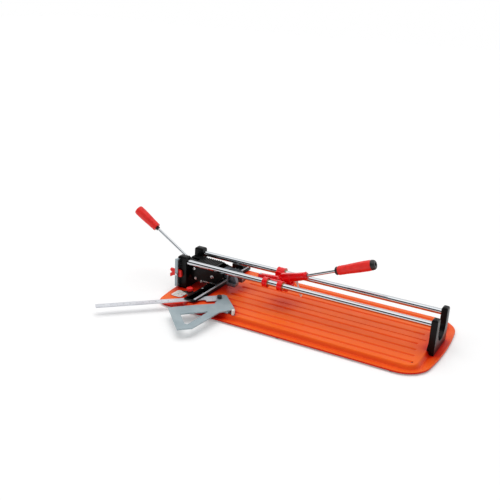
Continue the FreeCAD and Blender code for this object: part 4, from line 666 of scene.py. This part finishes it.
def tray_openings():
    """Drain slot, the two fixing holes and the bed of the anvil strip."""
    bm = bmesh.new()
    below, above = -10.0 * MM, 50.0 * MM
    slot_x, slot_half = FENCE_X + 26.0 * MM, 6.0 * MM
    slot_y0, slot_y1 = -0.25 * MM, 4.25 * MM
    slot_corner = 2.2 * MM
    add_box(bm, (slot_x - slot_half, slot_y0, below), (slot_x + slot_half, slot_y1, above),
            slot_corner, 6)
    hole_x, hole_y, hole_r = DECK_X1 - 22.0 * MM, DECK_Y - 32.0 * MM, 2.6 * MM
    for side in (-1, 1):
        at = (hole_x, side * hole_y, below)
        add_lathe(bm, [(0.0, hole_r), (above - below, hole_r)], at, (0, 0, 1), 24)
    low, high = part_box("anvil_strip")
    gap = 0.15 * MM
    add_box(bm, (low.x - gap, low.y - gap, low.z), (high.x + gap, high.y + gap, DECK_TOP + PAST))
    return bm


def tray():
    mesh = cut_by(tray_shell(), tray_pockets())
    mesh = cut_by(mesh, tray_openings())
    boss = bmesh.new()
    add_lathe(boss, [(0.0, BOSS_R), (DECK_TOP - BOSS_ROOF - RIM_LOW, BOSS_R)],
              (0.0, 0.0, RIM_LOW), (0, 0, 1))
    mesh = cut_by(mesh, boss, "UNION")
    flatten_shading(finish_piece("tray", mesh, "base", "orange_paint", 40.0, ["base_pan"]))


# ================================================================ CAD shapes with real edges
# Edge radius of each pressed, sawn or turned part, in mm.
EDGE_RADIUS = {
    "breaker_plate_front": 0.5, "breaker_plate_back": 0.5, "square_plate": 0.35, "gauge_rule": 0.4,
    "angle_scale_plate": 0.25, "edge_post": 0.7, "fence_scale_rail": 0.4,
    "breaker_trim_strip": 0.4, "anvil_strip": 0.3, "fence_bar": 0.9, "gauge_knob": 0.7,
    "square_knob": 0.6, "presser_foot": 0.9, "presser_pads": 1.2, "wheel_holder": 0.5,
    "square_stop_foot": 0.6, "square_stop_rod": 0.4, "rubber_feet": 1.0, "centre_pad": 0.8,
    "left_support_bolts": 0.5, "right_support_bolts": 0.5, "rod_set_screws": 0.4,
    "front_guide_rod": 0.9, "back_guide_rod": 0.9, "fence_screws": 0.5, "latch_pin": 0.5,
    "breaker_spacers": 0.5, "breaker_bolts": 0.6, "breaker_shaft": 0.6, "rocker_pin": 0.6,
    "presser_pin": 0.6, "carriage_bushes": 0.5, "lever_pin": 0.7, "holder_screw": 0.4,
    "wheel_axle": 0.3, "scoring_wheel": 0.15, "breaker_rocker": 0.35}
SHARP_ANGLE = math.radians(30.0)
FLAT_ANGLE = math.radians(1.0)

# Voxel size in mm and smoothing passes of each casting.
CASTINGS = {
    "left_support": (0.9, 4), "right_support": (0.9, 4), "breaker_hub": (0.6, 4),
    "gauge_block": (0.5, 3), "transport_latch": (0.5, 5), "carriage_frame": (0.7, 4),
    "scoring_lever_body": (0.6, 4)}


def node_bmesh(node):
    """The node's solid with its flat faces joined up."""
    bm = bmesh.new()
    bm.from_mesh(NODES[node].data)
    bmesh.ops.remove_doubles(bm, verts=bm.verts, dist=1e-6)
    bmesh.ops.dissolve_limit(bm, angle_limit=FLAT_ANGLE, verts=bm.verts, edges=bm.edges)
    return bm


def rounded(node, radius):
    """The node's shape with its sharp edges rounded."""
    bm = node_bmesh(node)
    edges = [e for e in bm.edges
             if len(e.link_faces) == 2 and e.calc_face_angle(0.0) > SHARP_ANGLE]
    bmesh.ops.bevel(bm, geom=edges, offset=radius, offset_type="OFFSET", segments=3,
                    profile=0.5, affect="EDGES", clamp_overlap=False)
    piece = stand_in(node, to_mesh(bm, node), 35.0)
    flatten_shading(piece)
    return piece


def rounded_parts():
    for node, radius in EDGE_RADIUS.items():
        piece = rounded(node, radius * MM)
        if node in ("gauge_rule", "fence_scale_rail"):
            piece.data.materials[0] = BRIGHT_SCALE


def cast(node, voxel, smooth, extra):
    """The node's shape as a casting: extra shapes are joined on and every edge is soft."""
    bm = node_bmesh(node)
    if extra is not None:
        bm.from_mesh(extra)
    mesh = applied(to_mesh(bm, node), ("REMESH", {"mode": "VOXEL", "voxel_size": voxel}),
                   ("SMOOTH", {"factor": 0.5, "iterations": smooth}),
                   ("DECIMATE", {"decimate_type": "DISSOLVE", "angle_limit": math.radians(1.2)}),
                   ("TRIANGULATE", {}))
    stand_in(node, mesh, 60.0)


def cast_parts():
    extras = {"carriage_frame": carriage_lips(), "scoring_lever_body": lever_ribs()}
    for node, (voxel, smooth) in CASTINGS.items():
        cast(node, voxel * MM, smooth, extras.get(node))


# ================================================================ carriage and levers
# Each lever's pivot at rest and the direction of its rod.
SCORE_BASE = Vector((-92.0, 0.0, 97.0)) * MM
SCORE_AXIS = Vector((math.cos(math.radians(22.0)), 0.0, math.sin(math.radians(22.0))))
SCORE_UP = Vector((-SCORE_AXIS.z, 0.0, SCORE_AXIS.x))
BREAK_BASE = Vector((-423.85, 0.0, 79.03)) * MM
BREAK_AXIS = Vector((-0.848, 0.0, 0.530)).normalized()
ALONG_X = (1, 0, 0)

FRONT_RINGS = [(-0.128, -0.111), (-0.076, -0.059)]      # ends of the carriage's rings, along X
BACK_BEARING = (-0.130, -0.102)
RING_LIP_HALF = 1.5 * MM
RING_LIP_R = 16.3 * MM
BORE_R = 12.0 * MM
BORE_REACH = 0.3                                        # either way along X

# Bands round the lever body: metres from the pivot, and radius in mm.
LEVER_BANDS = [(0.034, 12.0), (0.060, 11.9), (0.092, 13.2)]
# Side view of the crest over the pivot, in mm along and square to the lever.
LEVER_CREST = [(-6.0, 4.0), (-2.0, 16.0), (8.0, 20.5), (26.0, 19.0), (58.0, 14.0), (88.0, 11.5),
               (88.0, 2.0), (0.0, 0.0)]
CREST_HALF = 6.5 * MM

# Outlines of turned parts, as shares of their length and radius.
GRIP_LINE = [(0.0, 0.76), (0.012, 0.82), (0.03, 0.845), (0.06, 0.85), (0.075, 0.80), (0.088, 0.80),
             (0.105, 0.85), (0.16, 0.86), (0.24, 0.865), (0.34, 0.89), (0.46, 0.93), (0.60, 0.965),
             (0.74, 0.985), (0.85, 0.99), (0.93, 0.975)]
CAPPED_END = [(0.975, 0.95), (1.0, 0.90)]
ROUND_END = [(0.965, 0.95), (0.985, 0.91), (1.0, 0.80)]
CAP_LINE = [(0.0, 0.90), (0.04, 0.935), (0.16, 0.945), (0.55, 0.90), (0.80, 0.81), (0.93, 0.70),
            (1.0, 0.55), (0.98, 0.34), (0.86, 0.30), (0.60, 0.28), (0.58, 0.02)]
COLLAR_LINE = [(0.0, 0.80), (0.08, 0.88), (0.22, 0.97), (0.40, 1.0), (0.52, 1.0), (0.60, 0.95),
               (0.70, 0.95), (0.78, 0.985), (0.92, 0.97), (1.0, 0.90)]
GRIP_R = 17.0 * MM
FLUTES = 10
FLUTE_DEPTH = 0.045
SEAM_HEIGHT = 0.006

# Post under the scoring lever: mm along it from its top, and radius in mm.
POST_LINE = [(0.0, 4.2), (7.0, 4.2), (8.2, 3.6), (9.0, 3.1), (34.0, 3.1), (35.2, 3.6), (36.0, 4.1),
             (50.0, 4.1), (53.0, 3.6), (55.0, 2.4), (55.6, 0.8)]


def carriage_lips():
    """Raised lips at the ends of the two front rings and of the back bearing."""
    low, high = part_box("front_guide_rod")
    rod_y = (low.y + high.y) / 2
    rod_z = (low.z + high.z) / 2
    places = [(x0, x1, rod_y) for x0, x1 in FRONT_RINGS] + [(*BACK_BEARING, -rod_y)]
    lips = bmesh.new()
    for x0, x1, y in places:
        for x in (x0 + RING_LIP_HALF, x1 - RING_LIP_HALF):
            add_lathe(lips, [(-RING_LIP_HALF, RING_LIP_R), (RING_LIP_HALF, RING_LIP_R)],
                      (x, y, rod_z), ALONG_X, 40)
    bores = bmesh.new()
    start_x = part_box("carriage_frame")[0].x
    for y in (rod_y, -rod_y):
        add_lathe(bores, [(-BORE_REACH, BORE_R), (BORE_REACH, BORE_R)], (start_x, y, rod_z),
                  ALONG_X, 40)
    return cut_by(to_mesh(lips, "lips"), bores)


def lever_ribs():
    """Raised bands round the lever body and the tall crest over its pivot, as its casting has."""
    bm = bmesh.new()
    for s, r in LEVER_BANDS:
        band = [(-2.2, r - 1.0), (-1.0, r), (1.0, r), (2.2, r - 1.0)]
        add_lathe(bm, [(a * MM, b * MM) for a, b in band], SCORE_BASE + SCORE_AXIS * s, SCORE_AXIS)
    sides = []
    for y in (-CREST_HALF, CREST_HALF):
        sides.append(ring_of(bm, [SCORE_BASE + SCORE_AXIS * a * MM + SCORE_UP * n * MM
                                  + Vector((0.0, y, 0.0)) for a, n in LEVER_CREST]))
    bm.faces.new(sides[0])
    bm.faces.new(list(reversed(sides[1])))
    bridge(bm, sides[0], sides[1])
    return to_mesh(bm, "lever_ribs")


def grip_shape(start, length):
    """Radius scale of a grip: soft flutes round its middle and a parting line on each side."""
    def shape(s, angle):
        share = (s - start) / length
        body = ease(0.14, 0.24, share) * (1.0 - ease(0.78, 0.90, share))
        hollow = 0.5 + 0.5 * math.cos(FLUTES * angle)
        seam = 1.0 - ease(0.0, 0.06, abs(math.sin(angle)))
        return 1.0 - FLUTE_DEPTH * body * hollow ** 2 + SEAM_HEIGHT * seam
    return shape


def turned_piece(node, profile, base, axis, around=72, shape=None):
    bm = bmesh.new()
    add_lathe(bm, profile, base, axis, around, shape)
    stand_in(node, to_mesh(bm, node), 32.0)


def scaled(line, start, length, radius):
    return [(start + s * length, r * radius) for s, r in line]


def grip(node, line, base, axis, start, length):
    profile = smooth_profile(scaled(line, start, length, GRIP_R), 4)
    turned_piece(node, profile, base, axis, 96, grip_shape(start, length))


def scoring_handle():
    base, axis = SCORE_BASE, SCORE_AXIS
    start, length = 0.206, 0.110
    cap_length = 0.013
    collar_length, collar_r = 0.009, 0.013
    rod_start, rod_end, rod_r = 0.068, 0.2368, 4.9 * MM
    grip("scoring_grip", GRIP_LINE + CAPPED_END, base, axis, start, length)
    cap = smooth_profile(scaled(CAP_LINE, start + length, cap_length, GRIP_R), 3)
    turned_piece("grip_end_cap", cap, base, axis)
    collar = smooth_profile(scaled(COLLAR_LINE, start - collar_length, collar_length, collar_r), 3)
    turned_piece("grip_collar", collar, base, axis)
    rod = [(rod_start, rod_r - 0.5 * MM), (rod_start + 0.5 * MM, rod_r),
           (rod_end - 0.8 * MM, rod_r), (rod_end, rod_r - 0.7 * MM)]
    turned_piece("scoring_lever_rod", rod, base, axis, 48)


def breaker_handle():
    base, axis = BREAK_BASE, BREAK_AXIS
    start, length = 0.182, 0.094
    collar_length, collar_r = 0.009, 7.5 * MM
    rod_start, rod_end, rod_r = 0.017, 0.203, 4.75 * MM
    grip("breaker_grip", GRIP_LINE + ROUND_END, base, axis, start, length)
    collar = smooth_profile(scaled(COLLAR_LINE, start - collar_length, collar_length, collar_r), 3)
    turned_piece("breaker_collar", collar, base, axis)
    rod = [(rod_start, rod_r), (rod_end - 0.8 * MM, rod_r), (rod_end, 4.0 * MM)]
    turned_piece("breaker_lever_rod", rod, base, axis, 48)


def lever_post():
    """Slim pale post that hangs square to the scoring lever, below its socket."""
    bm = bmesh.new()
    along, below = 54.0, 9.0        # mm from the lever's pivot and from its middle line
    top = SCORE_BASE + SCORE_AXIS * along * MM - SCORE_UP * below * MM
    add_lathe(bm, [(s * MM, r * MM) for s, r in POST_LINE], top, -SCORE_UP, 40)
    add_detail("lever_post", bm, "scoring_lever", "white_nylon")


# ================================================================ marks and bolts
MARK_SINK = 0.1 * MM        # printed marks start in the face and stand a little proud of it
MARK_RISE = 0.12 * MM
MARK_PITCH = 5.0            # mm
GAUGE_PIVOT = Vector((-325.0 * MM, -153.0 * MM, 0.0))
RULE_ALONG = Vector((-1.0, -1.0, 0.0)).normalized()


def bar_mark(bm, centre, along, length, width, face_z):
    """Thin printed mark as a low closed bar: centre and direction in the XY plane."""
    across = Vector((-along.y, along.x, 0.0))
    half, side = along * length / 2, across * width / 2
    corners = [centre - half - side, centre + half - side, centre + half + side,
               centre - half + side]
    low = ring_of(bm, [(c.x, c.y, face_z - MARK_SINK) for c in corners])
    high = ring_of(bm, [(c.x, c.y, face_z + MARK_RISE) for c in corners])
    bm.faces.new(list(reversed(low)))
    bm.faces.new(high)
    bridge(bm, low, high)


def add_number(bm, text, centre, along, size, face_z):
    """Generic number, solid, standing on a flat face."""
    low_z, high_z = face_z - MARK_SINK, face_z + MARK_RISE
    curve = bpy.data.curves.new("number", "FONT")
    curve.body = text
    curve.size = size
    curve.align_x, curve.align_y = "CENTER", "CENTER"
    curve.extrude = (high_z - low_z) / 2
    curve.resolution_u = 2
    obj = in_scene("number", curve)
    bpy.context.view_layer.update()
    mesh = bpy.data.meshes.new_from_object(obj)
    turn = math.atan2(along.y, along.x)
    mesh.transform(Matrix.Translation((centre.x, centre.y, (low_z + high_z) / 2))
                   @ Matrix.Rotation(turn, 4, "Z"))
    before = len(bm.verts)
    bm.from_mesh(mesh)
    bm.verts.ensure_lookup_table()
    bmesh.ops.remove_doubles(bm, verts=bm.verts[before:], dist=1e-7)
    bpy.data.objects.remove(obj)


def rule_marks():
    """Scale along both edges of the gauge's rule: a mark every 5 mm, a number every 20 mm."""
    across = Vector((-RULE_ALONG.y, RULE_ALONG.x, 0.0))
    points = [v.co for v in NODES["gauge_rule"].data.vertices]
    tip = max(p.dot(RULE_ALONG) for p in points)
    near_tip = [p.dot(across) for p in points if p.dot(RULE_ALONG) > tip - 150.0 * MM]
    edges = (min(near_tip), max(near_tip))
    top = max(p.z for p in points)
    bare = 66.0 * MM        # this much next to the pivot goes under the fence as the gauge swivels
    count = int((tip - GAUGE_PIVOT.dot(RULE_ALONG) - bare) / (MARK_PITCH * MM))
    bm = bmesh.new()
    for i in range(count):
        s = tip - (6.0 + MARK_PITCH * i) * MM
        length = (4.2 if i % 2 == 0 else 2.6) * MM
        for edge, inward in ((edges[0], 1.0), (edges[1], -1.0)):
            middle = RULE_ALONG * s + across * (edge + inward * (0.8 * MM + length / 2))
            bar_mark(bm, middle, across, length, 0.30 * MM, top)
        if i % 4 == 0 and i > 0:
            middle = RULE_ALONG * s + across * (edges[0] + edges[1]) / 2
            add_number(bm, str(i // 2), middle, across, 4.6 * MM, top)
    add_detail("rule_marks", bm, "rule", "black_plastic")


def rail_marks():
    """Scale along the top of the fence rail: a mark every 5 mm and a line beside them."""
    low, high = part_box("fence_scale_rail")
    margin = 4.0 * MM
    bm = bmesh.new()
    count = int((high.y - low.y - 2 * margin) / (MARK_PITCH * MM))
    for i in range(count + 1):
        length = (4.6 if i % 2 == 0 else 2.8) * MM
        centre = Vector((high.x - 0.9 * MM - length / 2, low.y + margin + MARK_PITCH * MM * i, 0.0))
        bar_mark(bm, centre, Vector((1.0, 0.0, 0.0)), length, 0.5 * MM, high.z)
    centre = Vector(((low.x + high.x) / 2 - 2.6 * MM, (low.y + high.y) / 2, 0.0))
    bar_mark(bm, centre, Vector((0.0, 1.0, 0.0)), high.y - low.y - 6.0 * MM, 0.4 * MM, high.z)
    add_detail("rail_marks", bm, "base", "black_plastic")


def degree_marks():
    """Two arcs of degree marks on the angle plate round the gauge's pivot, with numbers between."""
    low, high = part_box("angle_scale_plate")
    margin = 2.2 * MM
    first, last, zero = 120, 192, 180       # degrees from the X axis
    number_r, number_half = 81.0 * MM, 3.0 * MM
    dark, red = bmesh.new(), bmesh.new()
    arcs = ((68.0 * MM, 4.0 * MM, red), (92.0 * MM, 5.0 * MM, dark))

    def inside(p):
        return low.x + margin < p.x < high.x - margin and low.y + margin < p.y < high.y - margin

    for i in range(last - first + 1):
        a = math.radians(float(first + i))
        ray = Vector((math.cos(a), math.sin(a), 0.0))
        for radius, size, target in arcs:
            length = size if i % 5 == 0 else size * 0.55
            inner = GAUGE_PIVOT + ray * (radius - length / 2)
            outer = GAUGE_PIVOT + ray * (radius + length / 2)
            if inside(inner) and inside(outer):
                bar_mark(target, (inner + outer) / 2, ray, length, 0.5 * MM, high.z)
        at = GAUGE_PIVOT + ray * number_r
        if i % 10 == 0 and inside(at + ray * number_half) and inside(at - ray * number_half):
            reading = Vector((ray.y, -ray.x, 0.0))
            add_number(red, str(abs(zero - first - i)), at, reading, 8.5 * MM, high.z)
    add_detail("degree_marks", dark, "base", "black_plastic")
    add_detail("degree_numbers", red, "base", "red_paint")


def bolt_head(bm, base, axis, radius, height, socket):
    """Low round bolt head with a chamfer and a round socket."""
    profile = [(0.0, radius), (height * 0.62, radius), (height * 0.86, radius * 0.93),
               (height, radius * 0.78), (height, socket * 1.12), (height * 0.9, socket),
               (height * 0.25, socket), (height * 0.2, socket * 0.04)]
    add_lathe(bm, profile, base, axis)


def plate_bolts():
    """The large pale pivot bolt on each breaker plate."""
    bolt_x, bolt_z = -326.0 * MM, 64.0 * MM
    front_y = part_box("breaker_plate_front")[0].y
    back_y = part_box("breaker_plate_back")[1].y
    bm = bmesh.new()
    for face_y, side in ((front_y, -1.0), (back_y, 1.0)):
        bolt_head(bm, (bolt_x, face_y, bolt_z), (0.0, side, 0.0), 6.5 * MM, 3.4 * MM, 3.0 * MM)
    add_detail("plate_bolts", bm, "base", "steel")


# ================================================================ stage, light and camera
WHITE = grey(1.0)
# Brightness that gloss reflects, by how far up it looks: 0 level or down, 1 straight up.
STUDIO = [(0.0, 0.42), (0.20, 0.30), (0.30, 0.03), (0.72, 0.03), (0.79, 1.5), (1.0, 1.6)]
FILL = 0.55
FLOOR_REACH = 12.0


def floor():
    """Pale floor that keeps the object's shadow; it glows a little to the camera and in gloss."""
    bm = bmesh.new()
    bmesh.ops.create_grid(bm, x_segments=12, y_segments=12, size=FLOOR_REACH)
    mesh = bpy.data.meshes.new("floor")
    bm.to_mesh(mesh)
    bm.free()
    obj = in_scene("floor", mesh)
    f = Finish("floor", Specular_IOR_Level=0.0)
    f.colour(f.mix(f.span(f.noise(0.5, detail=2.0), 0.3, 0.7), grey(0.86), grey(0.85)))
    f.roughness(0.95)
    path = f.add("ShaderNodeLightPath").outputs
    seen = f.math("MAXIMUM", path["Is Camera Ray"], path["Is Glossy Ray"])
    f.feed(f.shader.inputs["Emission Color"], WHITE)
    f.feed(f.shader.inputs["Emission Strength"], f.math("MULTIPLY", seen, 0.18))
    mesh.materials.append(f.material)


def world():
    """White for the camera, a soft studio for reflections and an even fill for the rest."""
    made = bpy.data.worlds.new("studio")
    bpy.context.scene.world = made
    made.use_nodes = True
    n = Nodes(made.node_tree)
    path = n.add("ShaderNodeLightPath").outputs
    way = n.add("ShaderNodeTexCoord").outputs["Generated"]
    split = n.add("ShaderNodeSeparateXYZ", {0: way}).outputs
    ramp = n.add("ShaderNodeValToRGB", {0: split["Z"]})
    band = ramp.color_ramp
    while len(band.elements) < len(STUDIO):
        band.elements.new(0.5)
    for element, (at, value) in zip(band.elements, STUDIO):
        element.position = at
        element.color = grey(value)
    behind = n.span(split["Y"], -0.1, 0.25)
    studio = n.mix(behind, ramp.outputs[0], WHITE)
    lit = n.mix(path["Is Glossy Ray"], grey(FILL), studio)
    back = n.tree.nodes["Background"]
    n.feed(back.inputs["Color"], n.mix(path["Is Camera Ray"], lit, WHITE))
    n.feed(back.inputs["Strength"], 1.0)


def far_lamp(name, towards, spread, power):
    """Sun lamp whose disc is some degrees wide, so that its shadows are soft."""
    data = bpy.data.lights.new(name, "SUN")
    data.angle = math.radians(spread)
    data.energy = power
    obj = in_scene(name, data)
    obj.location = (0.0, 0.0, 3.0)
    obj.visible_glossy = False
    obj.rotation_euler = Vector(towards).to_track_quat("-Z", "Y").to_euler()


def camera():
    """Camera at the viewing angle, with its slight roll."""
    data = bpy.data.cameras.new("camera")
    data.sensor_width = 36.0
    data.lens = 52.884
    data.clip_start = 0.05
    data.clip_end = 60.0
    obj = in_scene("camera", data)
    yaw, pitch, roll = (math.radians(a) for a in (28.296, 20.140, 2.790))
    ahead = Vector((-math.sin(yaw) * math.cos(pitch), math.cos(yaw) * math.cos(pitch),
                    -math.sin(pitch)))
    level = Vector((math.cos(yaw), math.sin(yaw), 0.0))
    upright = level.cross(ahead)
    right = math.cos(roll) * level + math.sin(roll) * upright
    above = math.cos(roll) * upright - math.sin(roll) * level
    obj.matrix_world = Matrix((right, above, -ahead)).transposed().to_4x4()
    obj.location = (0.8446, -1.9588, 0.9889)
    bpy.context.scene.camera = obj


floor()
world()
far_lamp("overhead", (0.15, -0.25, -1.0), 55.0, 1.25)
far_lamp("front_left", (0.9, 1.0, -0.9), 40.0, 0.35)
camera()
bpy.context.scene.view_settings.view_transform = "Standard"
coat_nodes()
tray()
rounded_parts()
cast_parts()
scoring_handle()
breaker_handle()
rule_marks()
rail_marks()
degree_marks()
plate_bolts()
lever_post()
